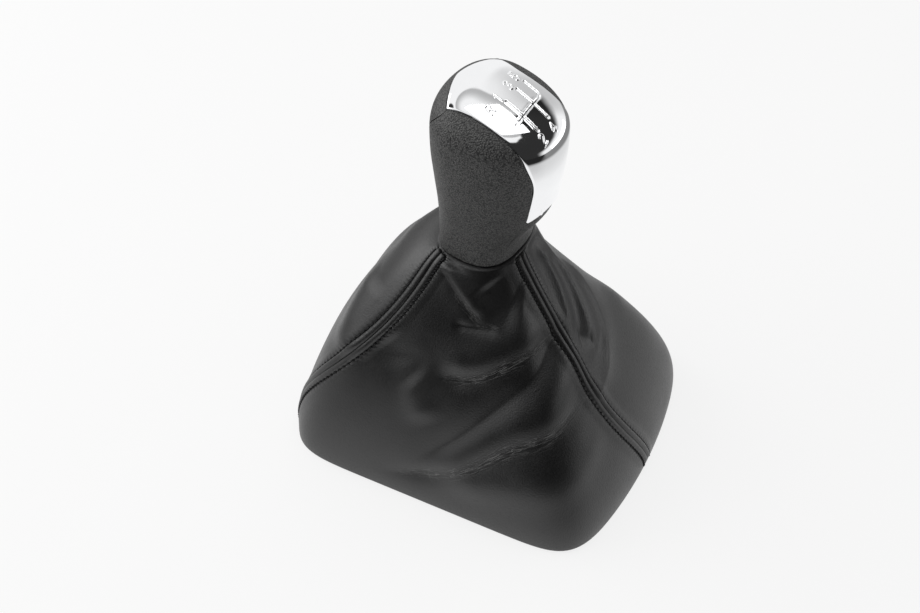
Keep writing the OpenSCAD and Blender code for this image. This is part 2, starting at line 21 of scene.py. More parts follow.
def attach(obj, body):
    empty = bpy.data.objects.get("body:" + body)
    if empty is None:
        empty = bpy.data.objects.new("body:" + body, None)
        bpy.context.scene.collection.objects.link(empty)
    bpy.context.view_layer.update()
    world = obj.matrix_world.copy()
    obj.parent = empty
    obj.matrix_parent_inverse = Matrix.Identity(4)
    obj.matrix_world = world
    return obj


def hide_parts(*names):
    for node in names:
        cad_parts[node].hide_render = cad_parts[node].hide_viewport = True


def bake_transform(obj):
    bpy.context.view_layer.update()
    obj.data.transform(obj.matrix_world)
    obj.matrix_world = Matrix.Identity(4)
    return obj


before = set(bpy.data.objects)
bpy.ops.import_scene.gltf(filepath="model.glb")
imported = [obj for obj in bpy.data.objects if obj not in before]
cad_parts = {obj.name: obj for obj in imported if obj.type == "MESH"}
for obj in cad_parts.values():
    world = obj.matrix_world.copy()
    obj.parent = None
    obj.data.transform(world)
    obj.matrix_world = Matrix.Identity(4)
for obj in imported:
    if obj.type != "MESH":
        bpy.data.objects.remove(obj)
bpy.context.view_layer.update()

MM = 0.001
LOG = logging.getLogger("knob")
Array = np.ndarray


# Small formulas on whole arrays


def mix(a: Any, b: Any, k: Any) -> Any:
    """Straight blend from a to b."""
    return a * (1 - k) + b * k


def smooth(k: Any) -> Any:
    """Rises from 0 to 1 with level ends, 3k^2 - 2k^3."""
    c = np.clip(k, 0, 1)
    return c * c * (3 - 2 * c)


def signed_power(x: Array, e: Any) -> Array:
    """Power of a number's size that keeps its sign."""
    return np.sign(x) * np.abs(x) ** e


def bell(d: Array, width: float, power: float = 2.0) -> Array:
    """Bell across a line, exp(-|d / width|^power), with a softened crest."""
    return np.exp(-((np.sqrt(d * d + 0.04) / width) ** power))


def unit(v: Array) -> Array:
    """Vectors of length 1 along the last axis."""
    return v / np.maximum(np.linalg.norm(v, axis=-1, keepdims=True), 1e-9)


def stretches(*parts: tuple[float, float, int]) -> Array:
    """Rising numbers in evenly spaced stretches, each given as first, last and count."""
    return np.concatenate([np.linspace(*part) for part in parts])


def stack(*parts: Any) -> Array:
    """Coordinates joined into points, after they are brought to one shape."""
    return np.stack(np.broadcast_arrays(*parts), -1).astype(float)


def turned(p: Array, degrees: float) -> Array:
    """Points turned about the lever's axis."""
    c, s = math.cos(math.radians(degrees)), math.sin(math.radians(degrees))
    return stack(p[..., 0] * c - p[..., 1] * s, p[..., 0] * s + p[..., 1] * c, p[..., 2])


def grid_normals(g: Array) -> Array:
    """Unit normals of a grid of points, columns counter-clockwise and rows upwards."""
    return unit(np.cross(np.gradient(g, axis=1), np.gradient(g, axis=0)))


# Meshes


def grid_quads(rows: int, cols: int, ring: bool = False) -> Array:
    """Faces of a grid; a ring joins the last column to the first.

    Args:
        rows: points up the grid.
        cols: points across it.
        ring: whether the last column joins the first.

    Returns:
        The four corners of each face, by number.
    """
    i = np.arange(rows - 1)[:, None] * cols
    j = np.arange(cols if ring else cols - 1)[None]
    k = (j + 1) % cols
    return np.stack([i + j, i + k, i + cols + k, i + cols + j], -1).reshape(-1, 4)


def closed_shell(outer: Array, inner: Array, ring: bool = False) -> tuple[Array, Array]:
    """Points and faces of the shell between two grids, with its edges closed.

    Args:
        outer: grid of the outer skin's points.
        inner: grid of the inner skin's points.
        ring: whether the columns go all the way round.

    Returns:
        The points and the faces.
    """
    rows, cols = outer.shape[:2]
    half = rows * cols
    quads = grid_quads(rows, cols, ring)
    j = np.arange(cols if ring else cols - 1)
    k = (j + 1) % cols
    top = (rows - 1) * cols
    walls = [np.stack([k, j, j + half, k + half], -1),
             np.stack([top + j, top + k, top + k + half, top + j + half], -1)]
    if not ring:
        i = np.arange(rows - 1) * cols
        e = i + cols - 1
        walls += [np.stack([i, i + cols, i + cols + half, i + half], -1),
                  np.stack([e + cols, e, e + half, e + cols + half], -1)]
    points = np.concatenate([outer.reshape(-1, 3), inner.reshape(-1, 3)])
    return points, np.concatenate([quads, quads[:, ::-1] + half] + walls)


def new_piece(name: str, points: Array, faces: Array, marks: dict[str, Array] | None = None) -> Any:
    """Makes a smooth mesh piece from points in millimetres.

    Args:
        name: the piece's name.
        points: its points, one row each.
        faces: its faces, each row the indices of one face's corners.
        marks: vectors to keep on the points, by attribute name.

    Returns:
        The new object, at the origin.
    """
    mesh = bpy.data.meshes.new(name)
    sides = faces.shape[1]
    mesh.vertices.add(len(points))
    mesh.vertices.foreach_set("co", (points * MM).astype(np.float32).ravel())
    mesh.loops.add(faces.size)
    mesh.loops.foreach_set("vertex_index", faces.astype(np.int32).ravel())
    mesh.polygons.add(len(faces))
    mesh.polygons.foreach_set("loop_start", np.arange(0, faces.size, sides, dtype=np.int32))
    mesh.polygons.foreach_set("use_smooth", np.ones(len(faces), bool))
    for key, values in (marks or {}).items():
        layer = mesh.attributes.new(key, "FLOAT_VECTOR", "POINT")
        layer.data.foreach_set("vector", values.astype(np.float32).ravel())
    mesh.update(calc_edges=True)
    mesh.validate()
    piece = bpy.data.objects.new(name, mesh)
    bpy.context.scene.collection.objects.link(piece)
    return piece


# Shader expressions


class Term:
    """A shader socket that can be added, multiplied and compared like a number."""

    def __init__(self, graph: "Graph", socket: Any) -> None:
        """Wraps a socket of the graph's tree."""
        self.graph = graph
        self.socket = socket

    def out(self, name: str) -> "Term":
        """Another output of the same node."""
        return Term(self.graph, self.socket.node.outputs[name])

    def _math(self, operation: str, *values: Any) -> "Term":
        """Adds a Math node for an operation."""
        return self.graph.node("ShaderNodeMath", {"operation": operation}, dict(enumerate(values)))

    def __add__(self, other: Any) -> "Term":
        """Sum."""
        return self._math("ADD", self, other)

    __radd__ = __add__

    def __sub__(self, other: Any) -> "Term":
        """Difference."""
        return self._math("SUBTRACT", self, other)

    def __rsub__(self, other: Any) -> "Term":
        """Difference, with the term taken away from a number."""
        return self._math("SUBTRACT", other, self)

    def __mul__(self, other: Any) -> "Term":
        """Product."""
        return self._math("MULTIPLY", self, other)

    __rmul__ = __mul__

    def __pow__(self, other: Any) -> "Term":
        """Power."""
        return self._math("POWER", self, other)

    def __abs__(self) -> "Term":
        """Size without its sign."""
        return self._math("ABSOLUTE", self)

    def above(self, low: float, high: float) -> "Term":
        """Smooth rise from 0 at low to 1 at high."""
        return self.graph.node("ShaderNodeMapRange", {"interpolation_type": "SMOOTHSTEP"},
                               {"Value": self, "From Min": low, "From Max": high})


class Graph:
    """A node tree that is written as expressions."""

    def __init__(self, tree: Any) -> None:
        """Empties the tree and writes to it."""
        self.tree = tree
        tree.nodes.clear()

    def node(self, kind: str, settings: dict[str, Any] | None = None,
             sockets: dict[Any, Any] | None = None, out: Any = 0) -> Term:
        """Adds a node.

        Args:
            kind: the node's type.
            settings: its settings, such as a Math node's operation.
            sockets: values or links of its inputs, by name or number.
            out: the output that the result stands for.

        Returns:
            The chosen output.
        """
        node = self.tree.nodes.new(kind)
        for key, value in (settings or {}).items():
            setattr(node, key, value)
        for key, value in (sockets or {}).items():
            if isinstance(value, Term):
                self.tree.links.new(value.socket, node.inputs[key])
            else:
                node.inputs[key].default_value = value
        return Term(self, node.outputs[out] if node.outputs else None)

    def place(self) -> Term:
        """The piece's own coordinates."""
        return self.node("ShaderNodeTexCoord", out="Object")

    def noise(self, size_mm: float, detail: float = 3.0, place: Term | None = None,
              roughness: float = 0.5) -> Term:
        """Noise whose blobs are about size_mm across, 0 to 1."""
        scale = 1 / (size_mm * MM) if place is None else 1 / size_mm
        return self.node("ShaderNodeTexNoise", {}, {"Vector": place or self.place(), "Scale": scale,
                         "Detail": detail, "Roughness": roughness})

    def cells(self, size_mm: float, smoothness: float = 0.4) -> Term:
        """Distance to the middle of rounded cells about size_mm across."""
        return self.node("ShaderNodeTexVoronoi", {"feature": "SMOOTH_F1"}, {"Vector": self.place(),
                         "Scale": 1 / (size_mm * MM), "Smoothness": smoothness}, "Distance")

    def tint(self, factor: Term, dark: Sequence[float], light: Sequence[float]) -> Term:
        """Colour between dark and light."""
        return self.node("ShaderNodeMix", {"data_type": "RGBA"},
                         {0: factor, 6: (*dark, 1), 7: (*light, 1)}, out=2)

    def bump(self, height: Term, depth_mm: float, normal: Term | None = None) -> Term:
        """Bump of the given depth for a height from 0 to 1, on top of another bump.

        Args:
            height: the height, 0 to 1.
            depth_mm: how far it stands out at 1.
            normal: the bump that it lies on.

        Returns:
            The bumped normal.
        """
        sockets = {"Height": height, "Distance": depth_mm * MM, "Strength": 1.0}
        if normal is not None:
            sockets["Normal"] = normal
        return self.node("ShaderNodeBump", {}, sockets)

    def principled(self, sockets: dict[str, Any]) -> None:
        """Ends a material in one Principled shader."""
        shader = self.node("ShaderNodeBsdfPrincipled", {}, sockets)
        self.node("ShaderNodeOutputMaterial", {}, {"Surface": shader})


class Finish:
    """A material that a frozen dataclass describes and its paint method draws."""

    name: str

    def paint(self, g: Graph) -> None:
        """Draws the material's nodes."""
        raise NotImplementedError

    def dress(self, *pieces: Any) -> None:
        """Gives the material to pieces, made once under its own name.

        Args:
            pieces: the pieces that get it, in all their slots.
        """
        material = bpy.data.materials.get(self.name)
        if material is None:
            material = bpy.data.materials.new(self.name)
            material.use_nodes = True
            self.paint(Graph(material.node_tree))
        for piece in pieces:
            if not piece.data.materials:
                piece.data.materials.append(material)
            for k in range(len(piece.data.materials)):
                piece.data.materials[k] = material


@dataclass(frozen=True)
class Leather(Finish):
    """Satin black leather: fine pebble grain, clouded tone, pale hairlines where it creases."""

    name: str = "black_leather"
    dark: tuple[float, float, float] = (0.006, 0.006, 0.0062)
    light: tuple[float, float, float] = (0.011, 0.011, 0.0112)
    pale: tuple[float, float, float] = (0.17, 0.17, 0.167)
    grain_mm: float = 0.75
    grain_depth: float = 0.05
    hair_mm: float = 1.1
    hair_stretch: float = 0.08
    hair_depth: float = 0.10
    wander_mm: float = 12.0
    wander: float = 2.4
    cloud_mm: float = 16.0
    gloss: float = 0.4

    def paint(self, g: Graph) -> None:
        """Grain and clouds on the piece's coordinates; creases on the mesh's own marks.

        Args:
            g: the material's graph.
        """
        crease = g.node("ShaderNodeAttribute", {"attribute_name": "crease"}, out="Vector")
        parts = g.node("ShaderNodeSeparateXYZ", {}, {"Vector": crease})
        across, along, strength = parts.out("X"), parts.out("Y"), parts.out("Z")
        wander = (g.noise(self.wander_mm, 2.0) - 0.5) * self.wander
        lines = g.node("ShaderNodeCombineXYZ", {},
                       {"X": across + wander, "Y": along * self.hair_stretch, "Z": 0.0})
        hair = abs(g.noise(self.hair_mm, 2.0, lines, 0.5) - 0.5)
        hairline = (1 - hair.above(0.002, 0.02)) * strength
        cloud = g.noise(self.cloud_mm, 4.0)
        grain = g.cells(self.grain_mm) + g.noise(0.35, 2.0) * 0.5
        tone = g.tint(cloud.above(0.3, 0.75), self.dark, self.light)
        scuffed = g.node("ShaderNodeMix", {"data_type": "RGBA"},
                         {0: hairline * 0.75, 6: tone, 7: (*self.pale, 1)}, out=2)
        rough = self.gloss + (cloud - 0.5) * 0.16 + (grain - 0.5) * 0.12
        relief = g.bump(hair.above(0.0, 0.08) * strength, self.hair_depth, g.bump(grain, self.grain_depth))
        g.principled({"Base Color": scuffed, "Roughness": rough, "Normal": relief,
                      "Specular IOR Level": 0.68})


@dataclass(frozen=True)
class Thread(Finish):
    """Black sewing thread, slightly rough."""

    name: str = "black_thread"
    dark: tuple[float, float, float] = (0.006, 0.006, 0.007)
    light: tuple[float, float, float] = (0.022, 0.022, 0.023)
    fibre_mm: float = 0.18

    def paint(self, g: Graph) -> None:
        """Fine fibres over a very dark tone.

        Args:
            g: the material's graph.
        """
        fibre = g.noise(self.fibre_mm, 2.0)
        g.principled({"Base Color": g.tint(fibre, self.dark, self.light),
                      "Roughness": 0.62, "Specular IOR Level": 0.2, "Normal": g.bump(fibre, 0.04)})


@dataclass(frozen=True)
class GrainedGrip(Finish):
    """Soft black moulding with a pebble grain, for the grip and the front insert."""

    name: str = "grained_grip"
    # dark is the painted shade in the pebbles' hollows, light the painted highlight on their tops
    dark: tuple[float, float, float] = (0.020, 0.020, 0.0205)
    light: tuple[float, float, float] = (0.110, 0.110, 0.107)
    pebble_mm: float = 0.64
    pebble_depth: float = 0.26

    def paint(self, g: Graph) -> None:
        """Pebbles are smooth cells, broken by fine noise; their tops are painted paler as painted highlight
        and their hollows darker as painted shade.

        Args:
            g: the material's graph.
        """
        pebble = g.cells(self.pebble_mm, 0.25)
        fine = g.noise(0.3, 3.0)
        height = (1 - pebble) + fine * 0.35
        # Painted highlight and shade: the tone follows pebble height, pale on the tops and dark in the
        # hollows
        tone = g.tint(height.above(0.35, 1.1), self.dark, self.light)
        rough = 0.5 + (g.noise(11.0, 3.0) - 0.5) * 0.12 + fine * 0.06
        g.principled({"Base Color": tone, "Roughness": rough,
                      "Normal": g.bump(height, self.pebble_depth), "Specular IOR Level": 0.5})


@dataclass(frozen=True)
class Chrome(Finish):
    """Bright chrome plate with faint wiping marks."""

    name: str = "bright_chrome"
    dark: tuple[float, float, float] = (0.86, 0.865, 0.875)
    light: tuple[float, float, float] = (0.91, 0.915, 0.925)
    wipe_mm: float = 6.0
    ripple_mm: float = 5.0

    def paint(self, g: Graph) -> None:
        """Nearly a mirror; its gloss varies a little, and the plate has a slight ripple.

        Args:
            g: the material's graph.
        """
        wipe = g.noise(self.wipe_mm, 4.0)
        ripple = g.noise(self.ripple_mm, 1.0)
        g.principled({"Base Color": g.tint(wipe, self.dark, self.light),
                      "Metallic": 1.0, "Roughness": 0.04 + wipe.above(0.45, 0.8) * 0.04,
                      "Normal": g.bump(ripple, 0.012)})


@dataclass(frozen=True)
class Moulded(Finish):
    """Moulded black plastic with a fine spark-eroded texture."""

    name: str = "moulded_black"
    light: tuple[float, float, float] = (0.028, 0.028, 0.029)
    texture_mm: float = 0.45

    def paint(self, g: Graph) -> None:
        """Fine noise in tone, gloss and height.

        Args:
            g: the material's graph.
        """
        fine = g.noise(self.texture_mm, 3.0)
        dark = tuple(c * 0.6 for c in self.light)
        g.principled({"Base Color": g.tint(fine, dark, self.light), "Roughness": 0.5 + fine * 0.15,
                      "Normal": g.bump(fine, 0.03)})


@dataclass(frozen=True)
class Steel(Finish):
    """Bare steel with drawn or turned lines round or along one axis."""

    name: str = "bare_steel"
    tone: float = 0.45
    stretch: tuple[float, float, float] = (1.0, 1.0, 12.0)

    def paint(self, g: Graph) -> None:
        """Noise pressed flat along one axis makes the lines.

        Args:
            g: the material's graph.
        """
        lines = g.node("ShaderNodeVectorMath", {"operation": "MULTIPLY"}, {0: g.place(), 1: self.stretch})
        grain = g.node("ShaderNodeTexNoise", {}, {"Vector": lines, "Scale": 300.0, "Detail": 4.0})
        low, high = (self.tone * 0.8,) * 3, (self.tone, self.tone, self.tone * 1.02)
        g.principled({"Base Color": g.tint(grain, low, high), "Metallic": 1.0,
                      "Roughness": 0.26 + grain * 0.2, "Normal": g.bump(grain, 0.01)})


# The gaiter


@dataclass(frozen=True)
class Fold:
    """A soft groove (height below 0) or ridge from one (angle, run) to another.

    Its line leaves the straight one by a bow and by a sway that turns over half-way. A power below 2
    gives it a sharper crest.
    """

    start: tuple[float, float]
    end: tuple[float, float]
    bow: float
    height: float
    width: float
    power: float = 2.0
    sway: float = 0.0

    def place(self, a: Array, t: Array, scale: Array, length: float) -> tuple[Array, Array, Array]:
        """Where points lie on the fold: along it from 0 to 1, across it and along it in millimetres.

        Args:
            a: angles round the lever in degrees.
            t: runs, 0 at the hem and 1 at the collar.
            scale: millimetres for one degree.
            length: millimetres from the hem to the collar.

        Returns:
            Place along, place across, and millimetres along.
        """
        dx, dy = (self.end[0] - self.start[0]) * scale, (self.end[1] - self.start[1]) * length
        way = a - self.start[0]
        px, py = (way - 360 * np.round(way / 360)) * scale, (t - self.start[1]) * length
        size = np.sqrt(dx * dx + dy * dy)
        along = (px * dx + py * dy) / (size * size)
        across = (py * dx - px * dy) / size + self.bow * 4 * along * (1 - along)
        across = across + self.sway * np.sin(2 * np.pi * along)
        return along, across, along * size

    def ends(self, along: Array) -> Array:
        """Fades the fold in and out past its two ends."""
        return smooth((along + 0.12) / 0.3) * smooth((1.12 - along) / 0.3)


class Seam(Enum):
    """The gaiter's three seams, each from the hem to the collar."""

    FRONT_LEFT = "front_left"
    REAR = "rear"
    FRONT_RIGHT = "front_right"


@dataclass
class Gaiter:
    """Three leather panels between the hem and the collar, sewn along three seams."""

    half_x: float = 66.0
    half_y: float = 71.5
    bow: float = 9.5
    square: float = 9.0
    hem: float = 9.0
    thick: float = 1.2
    collar_z: float = 112.2
    collar_x: float = 21.0
    collar_y: float = 18.0
    collar_power: float = 2.6
    collar_forward: float = 3.2
    collar_turn: float = -4.0
    lip_r: float = 11.95
    lip_h: float = 14.0
    fold_depth: float = 2.6
    front_seam: tuple[float, float] = (124.0, 148.0)
    rear_seam: tuple[float, float] = (268.5, 253.5)
    degree_mm: tuple[float, float] = (1.25, 0.42)
    seam_rise: float = 0.9
    seam_gap: float = 0.1
    seam_band: float = 7.5
    nick_depth: float = 1.5
    nick_half: float = 0.5
    pit_depth: float = 0.62
    swell: float = 0.45
    swell_edge: float = 8.5
    pucker: float = 0.1
    stitch_row: float = 2.9
    stitch_pitch: float = 2.25
    stitch_slant: float = 0.3
    stitch_half: float = 0.31
    thread_r: float = 0.4
    heavy: float = 1.3
    light: float = 1.05
    stitch_lift: float = 0.2
    stitch_dive: float = 0.8
    run_mm: float = 135.0
    run_rows: int = 226
    band_cols: int = 27
    fold_fade: float = 0.06
    seam_fade: float = 0.014
    follow_from: float = 22.0
    follow_to: float = 108.0
    wall_rise: tuple[float, ...] = (30, 30, 32, 32)
    top_height: tuple[float, ...] = (94, 110, 99, 92)
    top_reach: tuple[float, ...] = (0.13, 0.38, 0.19, 0.12)
    rise_base: float = 111.5
    flats: tuple[tuple[float, float], ...] = ((0.165, 0.150), (0.175, 0.150), (0.125, 0.150))
    folds: tuple[Fold, ...] = (
        Fold((158, 0.92), (200, 0.745), 0, -0.45, 3.0, 1.6),
        Fold((160, 0.965), (204, 0.785), 0, 0.75, 6.5, 1.8),
        Fold((182, 0.712), (212, 0.732), 0, -0.45, 2.8, 1.6),
        Fold((200, 0.885), (230, 0.80), 0, -0.7, 11),
        Fold((178, 0.52), (243, 0.665), -1, -0.9, 4.6, 1.5, 2.0),
        Fold((180, 0.58), (236, 0.74), 4, 0.6, 9),
        Fold((249, 0.66), (177, 0.235), 5.5, -0.75, 5.0, 1.5, 1.0),
        Fold((252, 0.585), (184, 0.18), 5.5, 0.75, 8.5),
        Fold((166, 0.11), (243, 0.45), -2.8, -0.8, 5, 1.5, 3.4),
        Fold((190, 0.17), (248, 0.38), 2, 0.6, 9),
        Fold((158, 0.53), (175, 0.37), 0, 0.5, 7),
        Fold((143, 0.55), (166, 0.48), 0, -0.7, 9),
        Fold((118, 0.66), (136, 0.47), 0, 0.8, 8),
        Fold((287, 0.94), (260, 0.62), -4.0, 0.6, 3.4, 1.3),
        Fold((291, 0.86), (266, 0.585), -5.5, -0.2, 3.6),
        Fold((298, 0.96), (268, 0.53), -6.5, 0.8, 5.0, 1.2),
        Fold((296, 0.72), (272, 0.50), -7.5, -0.25, 4.4),
        Fold((304, 0.76), (257, 0.42), -9.5, 0.8, 6.5, 1.2),
        Fold((274, 0.545), (266, 0.585), 0, -0.5, 3.2),
        Fold((316, 0.9), (314, 0.5), 0, -0.6, 8),
        Fold((340, 0.9), (350, 0.45), 0, -0.6, 8),
        Fold((16, 0.88), (8, 0.4), 0, 0.7, 8),
        Fold((60, 0.8), (48, 0.4), 0, -0.7, 9),
        Fold((92, 0.75), (88, 0.35), 0, -0.5, 10))
    creases: tuple[Fold, ...] = (
        Fold((181, 0.525), (243, 0.665), -1, 1.0, 2.0, 2.0, 2.0),
        Fold((168, 0.12), (243, 0.45), -2.8, 1.0, 2.4, 2.0, 3.4),
        Fold((198, 0.735), (214, 0.74), 0, 0.8, 1.4),
        Fold((178, 0.835), (199, 0.748), 0, 1.0, 2.4))

    def ring(self, a: Array, values: Sequence[float]) -> Array:
        """Value at angle a of a smooth ring with the given values at right, front, left and rear.

        Args:
            a: angles round the lever in degrees.
            values: what the ring is at right, front, left and rear.

        Returns:
            The ring's value at each angle.
        """
        r, f, l, b = values
        c, s = np.cos(np.radians(a)), np.sin(np.radians(a))
        return ((r + f + l + b) / 4 + (r - l) / 2 * c + (f - b) / 2 * s
                + (r + l - f - b) / 4 * (c * c - s * s))

    def base(self, a: Array, inset: Any = 0.0) -> tuple[Array, Array]:
        """Base outline: a superellipse whose front and rear edges bow out.

        Args:
            a: angles round the lever in degrees.
            inset: how far inside the outline.

        Returns:
            The outline's x and y.
        """
        c, s = np.cos(np.radians(a)), np.sin(np.radians(a))
        rx, ry = self.half_x - inset, self.half_y - inset
        r = ((np.abs(c) / rx) ** self.square + (np.abs(s) / ry) ** self.square) ** (-1 / self.square)
        x, y = r * c, r * s
        bow = self.bow * (1 - (x / rx) ** 2) * np.minimum(np.abs(y) / ry, 1) ** 2
        return x, y + np.sign(y) * bow

    def collar(self, a: Array) -> tuple[Array, Array]:
        """Collar outline: a superellipse, turned and moved forward.

        Args:
            a: angles round the lever in degrees.

        Returns:
            The outline's x and y.
        """
        k, m = np.radians(a - self.collar_turn), self.collar_power
        c, s = np.cos(k), np.sin(k)
        r = ((np.abs(c) / self.collar_x) ** m + (np.abs(s) / self.collar_y) ** m) ** (-1 / m)
        p = turned(stack(r * c, r * s + self.collar_forward, 0 * r), self.collar_turn)
        return p[..., 0], p[..., 1]

    def seam_angle(self, seam: Seam, t: Array) -> Array:
        """Angle of a seam at run t.

        Args:
            seam: which seam.
            t: runs, 0 at the hem and 1 at the collar.

        Returns:
            The seam's angle at each run.
        """
        front = mix(*self.front_seam, smooth((t - 0.05) / 0.8))
        if seam is Seam.FRONT_LEFT:
            return front
        if seam is Seam.REAR:
            return mix(*self.rear_seam, smooth(t / 0.5))
        return 540 - front

    def scale(self, t: Array) -> Array:
        """Millimetres along the leather for one degree, at the hem and at the collar."""
        return mix(*self.degree_mm, t)

    def seam_scale(self, seam: Seam, t: Array) -> Array:
        """Millimetres square to a seam for one degree, measured on the smooth leather.

        Args:
            seam: which seam.
            t: runs, 0 at the hem and 1 at the collar.

        Returns:
            Millimetres for one degree at each run.
        """
        k = np.linspace(0.01, 0.99, 50)
        a, ahead, behind = self.seam_angle(seam, k), k + 0.005, k - 0.005
        along = unit(self.run(self.seam_angle(seam, ahead), ahead)
                     - self.run(self.seam_angle(seam, behind), behind))
        degree = self.run(a + 0.5, k) - self.run(a - 0.5, k)
        square = degree - (degree * along).sum(-1, keepdims=True) * along
        return np.interp(t, k, np.linalg.norm(square, axis=-1))

    def run(self, a: Array, t: Array) -> Array:
        """Smooth leather: one cubic curve in each direction from the hem to the collar.

        Args:
            a: angles round the lever in degrees.
            t: runs, 0 at the hem and 1 at the collar.

        Returns:
            Points of the wall's middle without folds.
        """
        bx, by = self.base(a, self.thick / 2)
        nx, ny = self.collar(a)
        reach = self.ring(a, self.top_reach)
        rise = self.collar_z * self.ring(a, self.wall_rise) / self.rise_base
        high = self.collar_z * self.ring(a, self.top_height) / self.rise_base
        w = stack((1 - t) ** 3, 3 * t * (1 - t) ** 2, 3 * t * t * (1 - t), t ** 3)
        foot, low = stack(bx, by, self.thick), stack(bx, by, rise)
        shoulder = stack(mix(nx, bx, reach), mix(ny, by, reach), high)
        end = stack(nx, ny, self.collar_z)
        return foot * w[..., :1] + low * w[..., 1:2] + shoulder * w[..., 2:3] + end * w[..., 3:]

    def seam_relief(self, d: Array, s: Array) -> Array:
        """Relief at d across and s along a seam: two padded welts with a nick between them.

        Each welt ends in the row of pits where the stitches pull the leather down, and a low swell of
        puckered leather lies beyond.

        Args:
            d: millimetres across the seam.
            s: millimetres along it.

        Returns:
            Height above the smooth leather.
        """
        d = np.abs(d)
        beat = np.cos(2 * np.pi * s / self.stitch_pitch)
        welt = smooth((self.stitch_row + 0.3 - d) / 1.2) - self.nick_depth * bell(d, self.nick_half, 1.6)
        swell = self.swell * smooth((self.swell_edge - d) / 4.0)
        row = -self.pit_depth * bell(d - self.stitch_row, 0.7) * (0.7 + 0.3 * beat)
        pucker = -self.pucker * beat * bell(d - self.stitch_row - 1.2, 1.0)
        return self.seam_rise * (welt + swell + row + pucker)

    def relief(self, a: Array, t: Array) -> Array:
        """Height of folds and seams above the smooth leather, fading out at the hem and the collar.

        Args:
            a: angles round the lever in degrees.
            t: runs, 0 at the hem and 1 at the collar.

        Returns:
            Height above the smooth leather.
        """
        scale = self.scale(t)
        total = sewn = 0 * a * t
        for fold in self.folds:
            along, across, _ = fold.place(a, t, scale, self.run_mm)
            height = self.fold_depth * fold.height
            total = total + height * bell(across, fold.width, fold.power) * fold.ends(along)
        for seam in Seam:
            for lap in (0, -360):
                d = (a - self.seam_angle(seam, t) - lap) * self.seam_scale(seam, t)
                sewn = sewn + self.seam_relief(d, t * self.run_mm)
        at_collar = smooth((1 - t) / self.fold_fade) * total + smooth((1.006 - t) / self.seam_fade) * sewn
        return smooth(t / self.fold_fade) * at_collar

    def middle(self, a: Array, t: Array) -> Array:
        """Middle surface of the wall, relief raised along the smooth leather's normal.

        Args:
            a: angles round the lever in degrees.
            t: runs, 0 at the hem and 1 at the collar.

        Returns:
            Points of the wall's middle with folds and seams.
        """
        k = np.clip(t, 0.02, 0.98)
        around = self.run(a + 1, k) - self.run(a - 1, k)
        up = self.run(a, k + 0.01) - self.run(a, k - 0.01)
        return self.run(a, t) + self.relief(a, t)[..., None] * unit(np.cross(around, up))

    def crease_marks(self, a: Array, t: Array) -> Array:
        """Place across and along the nearest crease, and how strong its hairlines are.

        Args:
            a: angles round the lever in degrees.
            t: runs, 0 at the hem and 1 at the collar.

        Returns:
            Millimetres across, millimetres along, and strength.
        """
        scale = self.scale(t)
        best = np.zeros(a.shape + (3,))
        for crease in self.creases:
            along, across, run = crease.place(a, t, scale, self.run_mm)
            strength = crease.height * bell(across, crease.width) * crease.ends(along)
            mark = stack(across, run, strength)
            best = np.where((strength > best[..., 2])[..., None], mark, best)
        return best

    def panel(self, name: str, start: Seam, end: Seam, middle_cols: int, replaces: str) -> Any:
        """One panel between two seams, closed round its edges.

        Args:
            name: the piece's name.
            start: the seam at its first column.
            end: the seam at its last column.
            middle_cols: columns between the two seams' bands.
            replaces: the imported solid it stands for.

        Returns:
            The new piece.
        """
        hem_inset = np.array([self.hem, 6.6, 4.6, 2.8, 1.6, 0.95, 0.7])
        hem_z = np.array([0.6, 0.6, 0.6, 0.6, 0.6, 0.68, 0.88])
        runs = np.linspace(0, 1, self.run_rows)
        lip_at = np.array([0, 0.1, 0.2, 0.4, 0.7, 1.0])
        lip = np.linspace(0.03, 1, 22)
        lip_in = np.interp(lip, lip_at, [0, 0.1, 0.5, 0.93, 1, 1])
        lip_z = np.interp(lip, lip_at, [0, 0.5, 0.6, -0.4, -self.lip_h / 2, -self.lip_h])
        t = np.concatenate([0 * hem_inset, runs, 1 + 0 * lip])[:, None]
        off = np.linspace(0, self.seam_band, self.band_cols)[None] + self.seam_gap / 2
        first, last = self.seam_angle(start, t), self.seam_angle(end, t)
        if end is Seam.FRONT_LEFT:
            first = first - 360
        low = first + off / self.seam_scale(start, t)
        high = last - off[:, ::-1] / self.seam_scale(end, t)
        share = np.linspace(0, 1, middle_cols + 2)[None, 1:-1]
        a = np.concatenate([low, mix(low[:, -1:], high[:, :1], share), high], 1)
        t = np.broadcast_to(t, a.shape)
        n, m = len(hem_inset), len(hem_inset) + len(runs)
        hx, hy = self.base(a[:n], hem_inset[:, None])
        cx, cy = self.collar(a[m:])
        tube = np.radians(a[m:])
        k = lip_in[:, None]
        mid = np.concatenate([
            stack(hx, hy, hem_z[:, None]),
            self.middle(a[n:m], t[n:m]),
            stack(mix(cx, self.lip_r * np.cos(tube), k), mix(cy, self.lip_r * np.sin(tube), k),
                  self.collar_z + lip_z[:, None])])
        normal = grid_normals(mid)
        points, faces = closed_shell(mid + normal * self.thick / 2, mid - normal * self.thick / 2)
        marks = self.crease_marks(a, t).reshape(-1, 3)
        piece = new_piece(name, points, faces, {"crease": np.concatenate([marks, marks * 0])})
        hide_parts(replaces)
        self.follow(piece)
        return piece

    def follow(self, piece: Any) -> None:
        """Bakes the piece's placement into its mesh."""
        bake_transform(piece)

    def stitches(self, seam: Seam) -> Any:
        """Two rows of topstitching along a seam: short threads that bend into the leather at each end.

        The row on the left panel's side has the heavier thread and slants more.

        Args:
            seam: which seam.

        Returns:
            The new piece.
        """
        t = (np.arange(1.5, self.run_mm / self.stitch_pitch - 0.5) * self.stitch_pitch / self.run_mm)[None]
        side = np.array([-self.stitch_row, self.stitch_row])[:, None]
        heavy = side > 0 if seam is Seam.FRONT_LEFT else side < 0
        slant = np.where(heavy, self.stitch_slant, self.stitch_slant / 3)[:, :, None]
        step = 0.002

